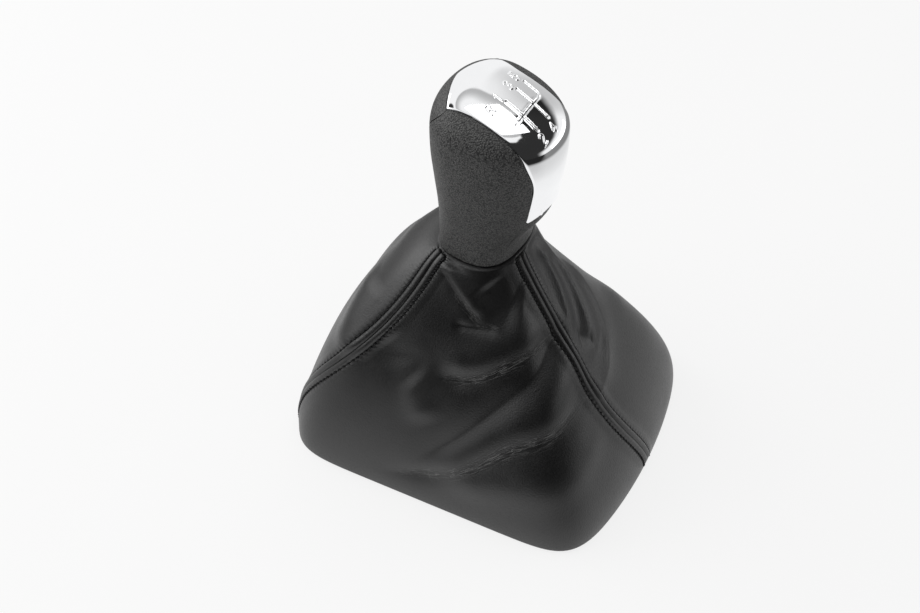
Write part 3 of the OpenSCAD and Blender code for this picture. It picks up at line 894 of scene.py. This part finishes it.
        def row(u: Array, off: float = 0.0) -> Array:
            """Points of both rows at run u, moved off millimetres across."""
            return self.middle(self.seam_angle(seam, u) + (side + off) / self.seam_scale(seam, u), u)

        here, along = row(t), unit(row(t + step) - row(t - step))
        beside = unit(row(t, 0.4) - here)
        out = unit(np.cross(beside, along))
        x = np.linspace(-1, 1, 9)
        lift = self.thick / 2 + self.stitch_lift - self.stitch_dive * x ** 4
        thick = np.where(heavy, self.heavy, self.light) * self.thread_r
        radius = (thick * np.sqrt(np.maximum(1 - x ** 8, 0.02)))[:, None]
        turn = np.linspace(0, 2 * np.pi, 9)[:-1]
        centre = (here[:, :, None] + along[:, :, None] * (x * self.stitch_pitch * self.stitch_half)[:, None]
                  + beside[:, :, None] * (x * slant)[..., None] + out[:, :, None] * lift[:, None])
        spokes = (beside[:, :, None, None] * np.cos(turn)[:, None]
                  + out[:, :, None, None] * np.sin(turn)[:, None])
        points = centre[:, :, :, None] + spokes * radius[..., None, None]
        count = points.shape[0] * points.shape[1]
        tube = grid_quads(len(x), len(turn), ring=True)
        size = len(x) * len(turn)
        faces = (tube[None] + np.arange(count)[:, None, None] * size).reshape(-1, 4)
        piece = new_piece(f"stitches_{seam.value}", points.reshape(-1, 3), faces)
        close_and_turn_out(piece)
        self.follow(piece)
        return piece

    def build(self) -> None:
        """Makes and dresses the panels and their stitching."""
        panels = [self.panel("left_panel", Seam.FRONT_LEFT, Seam.REAR, 126, "left_leather"),
                  self.panel("right_panel", Seam.REAR, Seam.FRONT_RIGHT, 126, "right_leather"),
                  self.panel("front_panel", Seam.FRONT_RIGHT, Seam.FRONT_LEFT, 84, "front_leather")]
        for piece, (w, l) in zip(panels, self.flats):
            Leather().dress(piece)
            LOG.info("%s: %d faces", piece.name, len(piece.data.polygons))
        for seam in Seam:
            piece = self.stitches(seam)
            Thread().dress(piece)
            LOG.info("%s: %d faces", piece.name, len(piece.data.polygons))


def close_and_turn_out(piece: Any) -> None:
    """Closes open ends with fans and turns every face outwards.

    Args:
        piece: the mesh piece to mend.
    """
    work = bmesh.new()
    work.from_mesh(piece.data)
    bmesh.ops.holes_fill(work, edges=[e for e in work.edges if e.is_boundary], sides=0)
    bmesh.ops.recalc_face_normals(work, faces=work.faces)
    work.to_mesh(piece.data)
    work.free()


# The knob's head


@dataclass
class Head:
    """Outer form that the grip, the front insert and the cap share."""

    rim_z: float = 114.0
    height: float = 79.5
    crown: float = 16.7
    half_x: float = 26.2
    front: float = 19.8
    rear: float = 33.1
    forward: float = 3.7
    slope: float = 0.17
    power: float = 2.65
    turn: float = -8.0
    stations: tuple[tuple[float, ...], ...] = (
        (0, 0.77, 0.82, 0.54, 2.7),
        (0.2, 0.79, 0.83, 0.63, 2.5),
        (0.4, 0.84, 0.87, 0.85, 2.3),
        (0.62, 0.915, 0.935, 0.95, 2.2),
        (0.84, 0.985, 0.99, 0.995, 2.15),
        (1, 1, 1, 1, 2.15))

    @property
    def shoulder_z(self) -> float:
        """Height where the crown's rounding starts."""
        return self.rim_z + self.height - self.crown

    def section(self, v: Array, k: int) -> Array:
        """Value k of the section at height share v: Hermite curves through the stations.

        Args:
            v: height shares, 0 at the rim and 1 at the shoulder.
            k: which column of the stations' table.

        Returns:
            The value at each height.
        """
        table = np.array(self.stations)
        at, val = table[:, 0], table[:, k]
        slope = np.zeros(len(at))
        slope[1:-1] = (val[2:] - val[:-2]) / (at[2:] - at[:-2])
        i = np.clip(np.searchsorted(at, v, side="right") - 1, 0, len(at) - 2)
        h = at[i + 1] - at[i]
        s = (v - at[i]) / h
        return (val[i] * (1 + 2 * s) * (1 - s) ** 2 + slope[i] * h * s * (1 - s) ** 2
                + val[i + 1] * s * s * (3 - 2 * s) + slope[i + 1] * h * s * s * (s - 1))

    def point(self, a: Array, u: Array, inset: Any = 0.0) -> Array:
        """Skin point: u is 0 to 1 from rim to shoulder, 1 to 2 over the crown's superellipse.

        Args:
            a: angles round the lever in degrees.
            u: heights along the skin.
            inset: how far inside the skin.

        Returns:
            Points of the head, before it is turned.
        """
        a, u = np.broadcast_arrays(np.asarray(a, float), np.asarray(u, float))
        v, phi = np.clip(u, 0, 1), np.pi / 2 * np.clip(u - 1, 0, 1)
        e = 2 / self.section(v, 4)
        s, h = np.cos(phi) ** (2 / self.power), np.sin(phi) ** (2 / self.power)
        c, q = np.cos(np.radians(a)), np.sin(np.radians(a))
        reach = np.where(q >= 0, self.front * self.section(v, 2), self.rear * self.section(v, 3)) - inset
        x = (self.half_x * self.section(v, 1) - inset) * s * signed_power(c, e)
        y = reach * s * signed_power(q, e)
        z = self.rim_z + v * (self.shoulder_z - self.rim_z) + h * (self.crown - inset) + self.slope * y * h
        return stack(x, y + self.forward, z)

    def inside(self, p: Array, grow: Any) -> Array:
        """Whether points lie in the head grown by some millimetres.

        Args:
            p: the points.
            grow: how far the head is grown.

        Returns:
            True where a point is inside.
        """
        x, y, z = np.abs(p[..., 0]), p[..., 1] - self.forward, p[..., 2]
        v = np.clip((z - self.rim_z) / (self.shoulder_z - self.rim_z), 0, 1)
        w = self.half_x * self.section(v, 1) + grow
        r = np.where(y >= 0, self.front * self.section(v, 2), self.rear * self.section(v, 3)) + grow
        m = self.section(v, 4)
        rho = ((x / w) ** m + (np.abs(y) / r) ** m) ** (1 / m)
        h = np.maximum(1 - np.minimum(rho, 1) ** self.power, 0) ** (1 / self.power)
        top = self.shoulder_z + h * (self.crown + grow) + self.slope * y * h
        return (rho < 1) & ((z <= self.shoulder_z) | (z < top))

    def cast(self, origin: Array, direction: Array, grow: Any, reach: float = 60.0) -> Array:
        """Skin points along rays that start inside and are reach long, found by halving.

        Args:
            origin: where each ray starts.
            direction: each ray's unit direction.
            grow: how far the head is grown.
            reach: how long the rays are.

        Returns:
            Where each ray leaves the head.
        """
        low, high = np.zeros(origin.shape[:-1]), np.full(origin.shape[:-1], reach)
        for _ in range(34):
            half = (low + high) / 2
            within = self.inside(origin + direction * half[..., None], grow)
            low, high = np.where(within, half, low), np.where(within, high, half)
        return origin + direction * low[..., None]


@dataclass
class CapOutline:
    """Outline of the chrome cap on the head."""

    tongue_half: float = 11.6
    tongue_z: float = 29.6
    tongue_arch: float = 3.0
    flare: float = 4.8
    flare_h: float = 24.0
    flare_start: float = 0.7
    widen: float = 0.14
    corner_x: float = 18.0
    front_y: float = 17.8
    front_drop: float = 7.2
    front_power: float = 1.4
    part_line: float = 0.25
    insert_from: float = 25.0
    insert_drop: float = 0.85
    insert_power: float = 0.75
    insert_least: float = 0.04

    def half(self, head: Head, p: Array) -> Array:
        """Half width of the cap at skin points: it widens from the tongue to the crown.

        Args:
            head: the head that the cap sits on.
            p: points of its skin.

        Returns:
            The half width at each point.
        """
        flare_z = head.shoulder_z - self.flare_start * self.flare_h
        widening = self.flare * smooth((p[..., 2] - flare_z) / self.flare_h)
        return self.tongue_half + self.widen * np.maximum(p[..., 1], 0) + widening

    def front(self, x: Array) -> Array:
        """Place of the front edge."""
        return self.front_y - self.front_drop * (np.abs(x) / self.corner_x) ** self.front_power

    def end_z(self, head: Head, x: Array) -> Array:
        """Height of the tongue's lower edge."""
        return head.rim_z + self.tongue_z + self.tongue_arch * (1 - (x / self.tongue_half) ** 2)

    def edge(self, head: Head, a: Array, g: float) -> Array:
        """Lowest u at each angle that lies under the outline grown by g.

        Args:
            head: the head that the cap sits on.
            a: angles round the lever in degrees.
            g: how far the outline is grown.

        Returns:
            The height along the skin at each angle.
        """
        low, high = np.full(a.shape, 0.2), np.full(a.shape, 1.97)
        for _ in range(22):
            u = (low + high) / 2
            p = head.point(a, u)
            under = ((np.abs(p[..., 0]) < self.half(head, p) + g) & (p[..., 1] < self.front(p[..., 0]) + g)
                     & (p[..., 2] > self.end_z(head, p[..., 0]) - g))
            low, high = np.where(under, low, u), np.where(under, u, high)
        return (low + high) / 2

    def insert_edge(self, head: Head, a: Array) -> Array:
        """Lower line of the front insert, between the cap's two front corners.

        Args:
            head: the head that the cap sits on.
            a: angles round the lever in degrees.

        Returns:
            The height along the skin at each angle.
        """
        share = (a - self.insert_from) / (180 - 2 * self.insert_from)
        dip = np.maximum(np.sin(np.pi * share), 0) ** self.insert_power
        return self.edge(head, a, 0.0) - self.insert_drop * dip - self.insert_least


def edge_drop(d: Array, radius: float) -> Array:
    """How far a rounded edge lies below the surface at d from the edge."""
    k = np.clip(d, 0, radius)
    return radius - np.sqrt(np.maximum(radius ** 2 - (radius - k) ** 2, 0))


# Distances from an edge, in millimetres, of the rows that round it
EDGE_STEPS = np.array([0.0, 0.04, 0.12, 0.24, 0.4])


@dataclass
class Knob:
    """Grip, front insert and chrome cap on the head's form."""

    head: Head = field(default_factory=Head)
    outline: CapOutline = field(default_factory=CapOutline)
    wall: float = 2.4
    cap_wall: float = 1.8
    proud: float = 0.35
    tongue_lift: float = 0.6
    edge_r: float = 0.4
    upper_edge: float = 1.6
    parting: float = 0.01
    side_mm: float = 62.8
    tongue_mm: float = 16.0
    front_mm: float = 22.0
    lift_fade: float = 12.0
    half_between: tuple[float, float] = (5.0, 23.0)
    fan: tuple[float, float] = (-8.0, 160.0)
    gate_pitch: float = 8.2
    groove_w: float = 1.1
    groove_d: float = 0.5
    gate_reach: float = 8.2
    gate_back: float = 14.4
    gate_turn: float = 4.0
    gate_lean: float = 0.2
    gate_cols: tuple[float, ...] = (-0.43, 0.57, 1.3)
    gate_left: float = -1.07
    gate_bend: float = 2.0
    gate_short: float = 1.0
    groove_side: float = 0.25
    burr: float = 0.12
    burr_w: float = 0.22
    numeral_h: float = 4.0
    numeral_stroke: float = 0.55
    numeral_rise: float = 0.28
    numeral_side: float = 0.22
    numeral_ahead: float = 3.5
    numeral_behind: float = 1.9
    numeral_squash: float = 1.25

    def finish_piece(self, name: str, outer: Array, inner: Array, ring: bool, replaces: str,
                     finish: Finish) -> Any:
        """Closes a shell, turns it as the head stands and dresses it.

        Args:
            name: the piece's name.
            outer: grid of the outer skin.
            inner: grid of the inner skin.
            ring: whether the grids go all the way round.
            replaces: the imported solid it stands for.
            finish: its finish.

        Returns:
            The new piece.
        """
        points, faces = closed_shell(outer, inner, ring)
        piece = new_piece(name, turned(points, self.head.turn), faces)
        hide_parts(replaces)
        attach(piece, "knob")
        finish.dress(piece)
        LOG.info("%s: %d faces", name, len(faces))
        return piece

    def grip(self) -> None:
        """Grip from the rim up to the cap and the insert, its edges rounded.

        Its columns are closest where its upper edge is steep: at the insert's corners and beside the
        tongue.
        """
        o = self.outline
        corner = o.insert_from
        ahead = stretches((0, corner, 16), (corner + 0.1, corner + 3, 14), (corner + 4, 89.5, 38))
        tongue = stretches((0.8, 23, 12), (23.6, 32, 44), (32.6, 52, 30))
        side = np.concatenate([ahead, 180 - ahead[::-1], np.linspace(181, 217, 24), 270 - tongue[::-1],
                               270 + tongue, np.linspace(323, 359, 24)])
        top = np.where((side > corner) & (side < 180 - corner), o.insert_edge(self.head, side) - self.parting,
                       o.edge(self.head, side, o.part_line))
        steps = EDGE_STEPS[:, None] / self.side_mm
        body = np.linspace(0, 1, 112)[:, None]
        low, high = steps[-1], top - steps[-1] * self.upper_edge
        u = np.concatenate([steps[:-1] + 0 * top, mix(low, high, body),
                            top - steps[:-1][::-1] * self.upper_edge])
        inset = np.concatenate([edge_drop(EDGE_STEPS[:-1], self.edge_r), 0 * body[:, 0],
                                edge_drop(EDGE_STEPS[:-1], self.edge_r)[::-1]])[:, None]
        outer = self.head.point(side[None], u, inset)
        inner = self.head.point(side[None], u, self.wall)
        self.finish_piece("grip", outer, inner, True, "grip_shell", GrainedGrip())

    def insert(self) -> None:
        """Fine grained insert between the cap's front edge and the grip."""
        o = self.outline
        a = np.linspace(o.insert_from + 0.2, 179.8 - o.insert_from, 160)
        low, high = o.insert_edge(self.head, a) + self.parting, o.edge(self.head, a, o.part_line)
        steps = EDGE_STEPS[:, None] / self.side_mm
        share = np.linspace(0, 1, 46)
        body = mix(low + steps[-1], high - steps[-1], share[:, None])
        u = np.concatenate([low + steps[:-1], body, high - steps[:-1][::-1]])
        drop = edge_drop(EDGE_STEPS[:-1], self.edge_r)
        inset = np.concatenate([drop, 0 * share, drop[::-1]])[:, None]
        outer = self.head.point(a[None], u, inset)
        inner = self.head.point(a[None], u, self.wall)
        self.finish_piece("insert", outer, inner, False, "front_insert",
                          GrainedGrip(name="grained_insert", pebble_mm=0.6, pebble_depth=0.16))

    def rays(self, k: Array, x: Array) -> tuple[Array, Array]:
        """Rays that meet the cap at row k and width x.

        k runs 0 to 1 up the tongue on level rays, 1 to 2 round a fan, 2 to 3 forward on upright rays.

        Args:
            k: rows, 0 to 3.
            x: millimetres to the side.

        Returns:
            Each ray's start and direction.
        """
        fan_y, fan_z = self.fan
        level, ahead = np.clip(k, 0, 1), np.clip(k - 2, 0, 1)
        beta = np.pi / 2 * np.clip(k - 1, 0, 1)
        z = mix(self.outline.end_z(self.head, x), fan_z, level)
        y = mix(fan_y, self.outline.front(x), ahead)
        return stack(x, y, z), stack(0 * x, -np.cos(beta), np.sin(beta))

    def cap(self) -> None:
        """Chrome cap: a strip from the tongue's end over the crown, with grooves, numerals and edges."""
        e = EDGE_STEPS
        gate = stretches((1.306, 2, 150), (2.01, 2.4, 44))
        k = np.concatenate([e / self.tongue_mm, stretches((0.03, 1, 26), (1.02, 1.3, 20)), gate,
                            np.linspace(2.42, 2.96, 26), 3 - e[::-1] / self.front_mm])
        low, high = (np.full(k.shape, x) for x in self.half_between)
        for _ in range(26):
            x = (low + high) / 2
            p = self.head.cast(*self.rays(k, x), 0.0)
            within = x < self.outline.half(self.head, p)
            low, high = np.where(within, x, low), np.where(within, high, x)
        half = low[:, None]
        inner_x = np.linspace(-1, 1, 142)[None, 1:-1] * (half - e[-1])
        x = np.concatenate([-half + e, inner_x, half - e[::-1]], 1)
        rows = np.broadcast_to(k[:, None], x.shape)
        from_side = half - np.abs(x)
        from_end = np.minimum(rows * self.tongue_mm, (3 - rows) * self.front_mm)
        origin, direction = self.rays(rows, x)
        p = self.head.cast(origin, direction, 0.0)
        raised_to = self.head.rim_z + self.outline.tongue_z + self.lift_fade
        lift = self.proud + self.tongue_lift * smooth((raised_to - p[..., 2]) / self.lift_fade)
        drop = edge_drop(np.minimum(from_side, from_end), self.edge_r)
        outer = self.head.cast(origin, direction, lift - drop)
        inner = self.head.cast(origin, direction, lift - self.cap_wall)
        normal = grid_normals(outer)
        outer = outer + normal * self.engraving(outer)[..., None]
        self.finish_piece("cap", outer, inner, False, "chrome_cap", Chrome())

    def gate_lines(self) -> list[Array]:
        """Centre lines of the grooves: the cross bar, three columns ahead of it and two behind.

        Returns:
            Lines of points on the gate's plane.
        """
        left, right, last = (c * self.gate_pitch for c in self.gate_cols)
        ahead, behind = self.gate_reach, self.gate_short - self.gate_reach
        bend, r = np.radians(np.linspace(-90, 0, 7)), self.gate_bend
        corner = np.stack([last - r + r * np.cos(bend), r + r * np.sin(bend)], 1)
        return [np.concatenate([[[self.gate_left * self.gate_pitch, 0]], corner, [[last, ahead]]]),
                np.array([[left, behind], [left, ahead]]), np.array([[right, behind], [right, ahead]])]

    def engraving(self, p: Array) -> Array:
        """Depth of the grooves and height of the numerals at skin points.

        Args:
            p: points of the cap's skin.

        Returns:
            Height above the skin, below 0 in the grooves.
        """
        t = math.radians(self.gate_turn)
        x, y = p[..., 0], p[..., 1] + self.gate_back
        ahead_of_bar = y * math.cos(t) - x * math.sin(t)
        q = stack(x * math.cos(t) + y * math.sin(t) - self.gate_lean * ahead_of_bar, ahead_of_bar)
        d = np.full(x.shape, 99.0)
        for line in self.gate_lines():
            d = np.minimum(d, line_distance(q, line))
        height = -self.groove_d * smooth((self.groove_w / 2 + 0.1 - d) / self.groove_side)
        height = height + self.burr * bell(d - self.groove_w / 2 - 0.2, self.burr_w)
        ahead, behind = self.gate_reach + self.numeral_ahead, -self.gate_reach - self.numeral_behind
        marks = {"R": (-1.4, ahead - 0.4), "1": (-0.57, ahead), "3": (0.43, ahead + 0.1),
                 "5": (1.17, ahead + 0.7), "2": (-0.52, behind), "4": (0.39, behind - 0.4)}
        for sign, (cx, cy) in marks.items():
            local = (q - np.array([cx * self.gate_pitch, cy])) / self.numeral_h
            if cy < 0:
                local = stack(local[..., 0], local[..., 1] * self.numeral_squash)
            dist = np.full(x.shape, 99.0)
            for line in NUMERALS[sign]:
                dist = np.minimum(dist, line_distance(local, line) * self.numeral_h)
            stroke = smooth((self.numeral_stroke / 2 + 0.1 - dist) / self.numeral_side)
            height = height + self.numeral_rise * stroke
        return height

    def build(self) -> None:
        """Makes the three outer pieces."""
        self.grip()
        self.insert()
        self.cap()


def line_distance(q: Array, line: Array) -> Array:
    """Distance from points in a plane to a line of straight stretches.

    Args:
        q: the points.
        line: the line's corners.

    Returns:
        Each point's least distance.
    """
    best = np.full(q.shape[:-1], 1e9)
    for a, b in zip(line[:-1], line[1:]):
        d = b - a
        k = np.clip(((q - a) @ d) / (d @ d), 0, 1)
        best = np.minimum(best, np.linalg.norm(q - a - k[..., None] * d, axis=-1))
    return best


def arc(cx: float, cy: float, r: float, start: float, end: float) -> Array:
    """Points on an arc, angles in degrees."""
    t = np.radians(np.linspace(start, end, 9))
    return np.stack([cx + r * np.cos(t), cy + r * np.sin(t)], 1)


NUMERALS: dict[str, list[Array]] = {
    "1": [np.array([[-0.16, 0.3], [0.05, 0.5], [0.05, -0.5]])],
    "2": [np.concatenate([arc(0, 0.24, 0.26, 160, -40), [[-0.28, -0.5], [0.3, -0.5]]])],
    "3": [arc(0, 0.24, 0.25, 140, -80), arc(0, -0.24, 0.27, 80, -140)],
    "4": [np.array([[0.12, -0.5], [0.12, 0.5], [-0.3, -0.2], [0.32, -0.2]])],
    "5": [np.concatenate([[[0.26, 0.5], [-0.2, 0.5], [-0.24, 0.05]], arc(0, -0.2, 0.29, 120, -140)])],
    "R": [np.array([[-0.26, -0.5], [-0.26, 0.5], [0.05, 0.5]]), arc(0.05, 0.26, 0.24, 90, -90),
          np.array([[-0.26, 0.02], [0.05, 0.02], [0.3, -0.5]])]}


# The hidden pieces and the studio


def dress_inner_pieces() -> None:
    """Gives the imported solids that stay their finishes."""
    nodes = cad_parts
    Moulded().dress(nodes["base_frame"], nodes["knob_core"])
    Moulded(name="tie_nylon", light=(0.02, 0.02, 0.021), texture_mm=0.9).dress(nodes["neck_tie"])
    Steel(name="spring_steel", tone=0.42, stretch=(1.0, 14.0, 1.0)).dress(nodes["frame_clips"])
    Steel(name="ring_steel", tone=0.4).dress(nodes["bush_ring"])
    Steel(name="bush_metal", tone=0.5).dress(nodes["lever_bush"])


@dataclass(frozen=True)
class Spot:
    """Round patch on the plan of a direction: its middle, and the squared distances where it fades."""

    x: float
    y: float
    full: float
    gone: float

    def mask(self, x: Term, y: Term) -> Term:
        """1 inside the patch, 0 outside."""
        return 1 - ((x - self.x) ** 2 + (y - self.y) ** 2).above(self.full, self.gone)


@dataclass
class Studio:
    """Pale floor, soft light and the camera at the photograph's angle."""

    azimuth: float = -63.9
    elevation: float = 48.7
    distance: float = 0.756
    target: tuple[float, float, float] = (0.0474, 0.0385, 0.0)
    lens: float = 58.7
    sky: float = 0.56
    floor_glow: float = 0.8
    floor_half: float = 3.0
    dark_side: float = -150.0
    dark_wide: float = 0.6
    corner: Spot = Spot(0.04, 0.55, 0.005, 0.014)
    wall: Spot = Spot(0.85, -0.12, 0.0, 0.1)
    umbrella_x: float = 0.22
    umbrella_y: float = 0.02
    umbrella_r: float = 0.385

    def camera(self) -> None:
        """Camera on a ball round its target."""
        a, e = math.radians(self.azimuth), math.radians(self.elevation)
        back = np.array([math.sin(a) * math.cos(e), -math.cos(a) * math.cos(e), math.sin(e)])
        right = np.array([math.cos(a), math.sin(a), 0.0])
        up = np.cross(back, right)
        data = bpy.data.cameras.new("camera")
        data.lens, data.sensor_width, data.sensor_fit = self.lens, 36.0, "HORIZONTAL"
        camera = bpy.data.objects.new("camera", data)
        place = Matrix([[*row] for row in np.column_stack([right, up, back])]).to_4x4()
        place.translation = np.array(self.target) + back * self.distance
        camera.matrix_world = place
        bpy.context.scene.collection.objects.link(camera)
        bpy.context.scene.camera = camera

    def lamp(self, name: str, azimuth: float, elevation: float, size: tuple[float, float],
             radiance: float) -> None:
        """Soft box that faces the knob from one metre.

        Args:
            name: the lamp's name.
            azimuth: its direction round the knob, from the car's right.
            elevation: its direction above the floor.
            size: its width and height in metres.
            radiance: how bright its face is, 1 being white.
        """
        data = bpy.data.lights.new(name, "AREA")
        data.shape, data.size, data.size_y = "RECTANGLE", *size
        data.energy = radiance * math.pi * size[0] * size[1]
        lamp = bpy.data.objects.new(name, data)
        a, e = math.radians(azimuth), math.radians(elevation)
        z = np.array([math.cos(a) * math.cos(e), math.sin(a) * math.cos(e), math.sin(e)])
        x = np.array([-math.sin(a), math.cos(a), 0.0])
        turn = Matrix([[*row] for row in np.column_stack([x, np.cross(z, x), z])]).to_4x4()
        turn.translation = z + np.array([0, 0, 0.08])
        lamp.matrix_world = turn
        bpy.context.scene.collection.objects.link(lamp)

    def behind(self, x: Term, y: Term) -> Term:
        """How far a place or direction lies towards the dark side, behind the camera."""
        turn = math.radians(self.dark_side)
        return x * math.cos(turn) + y * math.sin(turn)

    def world(self) -> None:
        """White to the camera, an even sky for light, and a drawn studio for gloss.

        The studio is drawn on the plan of a direction, x to the car's right and y to its front: the
        dark side behind the camera, a black screen, a dark corner, a grey umbrella and a grey wall.
        """
        world = bpy.data.worlds.new("studio")
        world.use_nodes = True
        bpy.context.scene.world = world
        g = Graph(world.node_tree)
        ray = g.node("ShaderNodeLightPath", out="Is Camera Ray")
        way = g.node("ShaderNodeTexCoord", out="Generated")
        x = g.node("ShaderNodeSeparateXYZ", {}, {"Vector": way})
        y, up = x.out("Y"), x.out("Z")
        ragged = g.node("ShaderNodeTexNoise", {}, {"Vector": way, "Scale": 5.0, "Detail": 2.0}) - 0.5
        flat = (1 - up * up) ** 0.5
        side = (self.behind(x, y) - flat * self.dark_wide).above(-0.15, 0.08) * (1 - up.above(0.64, 0.86))
        screen_side = (-0.14 - y + ragged * 0.12).above(-0.02, 0.03)
        screen_foot = (up - x * 0.3 + ragged * 0.1).above(0.14, 0.36)
        screen_top = 1 - (up + ragged * 0.05).above(0.895, 0.91)
        screen = screen_side * screen_foot * screen_top
        dark = 1 - (1 - side) * (1 - screen) * (1 - self.corner.mask(x, y))
        ring = ((x - self.umbrella_x) ** 2 + (y - self.umbrella_y) ** 2) ** 0.5
        umbrella = ring.above(0.2, self.umbrella_r) * (1 - ring.above(self.umbrella_r, 0.41))
        gloss = (1 - dark * 0.97) * (1 - umbrella * 0.5) * (1 - self.wall.mask(x, y) * 0.4)
        level = g.node("ShaderNodeMix", {"data_type": "FLOAT"},
                       {0: ray.out("Is Glossy Ray"), 2: self.sky * (1 - dark * 0.5), 3: gloss})
        level = g.node("ShaderNodeMix", {"data_type": "FLOAT"}, {0: ray, 2: level, 3: 1.0})
        sky = g.node("ShaderNodeBackground", {}, {"Color": (1, 1, 1, 1), "Strength": level})
        g.node("ShaderNodeOutputWorld", {}, {"Surface": sky})

    def floor(self) -> None:
        """Pale floor with a soft shadow; its far parts are dim in gloss, most of all behind the camera."""
        mesh = bpy.data.meshes.new("floor")
        h = self.floor_half
        mesh.from_pydata([(-h, -h, 0), (h, -h, 0), (h, h, 0), (-h, h, 0)], [], [(0, 1, 2, 3)])
        piece = bpy.data.objects.new("floor", mesh)
        bpy.context.scene.collection.objects.link(piece)
        material = bpy.data.materials.new("floor_white")
        material.use_nodes = True
        g = Graph(material.node_tree)
        paper = g.node("ShaderNodeBsdfPrincipled", {},
                       {"Base Color": (0.93, 0.93, 0.93, 1), "Roughness": 0.8, "Specular IOR Level": 0.2})
        ray = g.node("ShaderNodeLightPath", out="Is Camera Ray")
        glossy = ray.out("Is Glossy Ray")
        x = g.node("ShaderNodeSeparateXYZ", {}, {"Vector": g.place()})
        y = x.out("Y")
        away = (x * x + y * y) ** 0.5
        behind = (self.behind(x, y) - away * 0.5).above(-0.05, 0.05)
        dim = away.above(0.14, 0.32) * (0.75 + behind * 0.23)
        white = g.node("ShaderNodeEmission", {}, {"Color": (1, 1, 1, 1), "Strength": 1 - glossy * dim})
        share = ray * self.floor_glow + glossy
        seen = g.node("ShaderNodeMixShader", {}, {0: share, 1: paper, 2: white})
        g.node("ShaderNodeOutputMaterial", {}, {"Surface": seen})
        mesh.materials.append(material)

    def build(self) -> None:
        """Sets the camera, the light and the floor."""
        self.camera()
        self.lamp("overhead_box", -25.0, 74.0, (0.42, 0.42), 2.4)
        self.lamp("front_box", 102.0, 33.0, (1.1, 0.75), 1.9)
        self.lamp("side_box", -52.0, 11.0, (0.8, 0.26), 1.1)
        self.world()
        self.floor()
        bpy.context.scene.view_settings.view_transform = "Standard"


def main() -> None:
    """Builds the studio, the gaiter and the knob in order."""
    logging.basicConfig(level=logging.INFO, format="%(name)s: %(message)s")
    Studio().build()
    Gaiter().build()
    Knob().build()
    dress_inner_pieces()


if __name__ == "__main__":
    main()
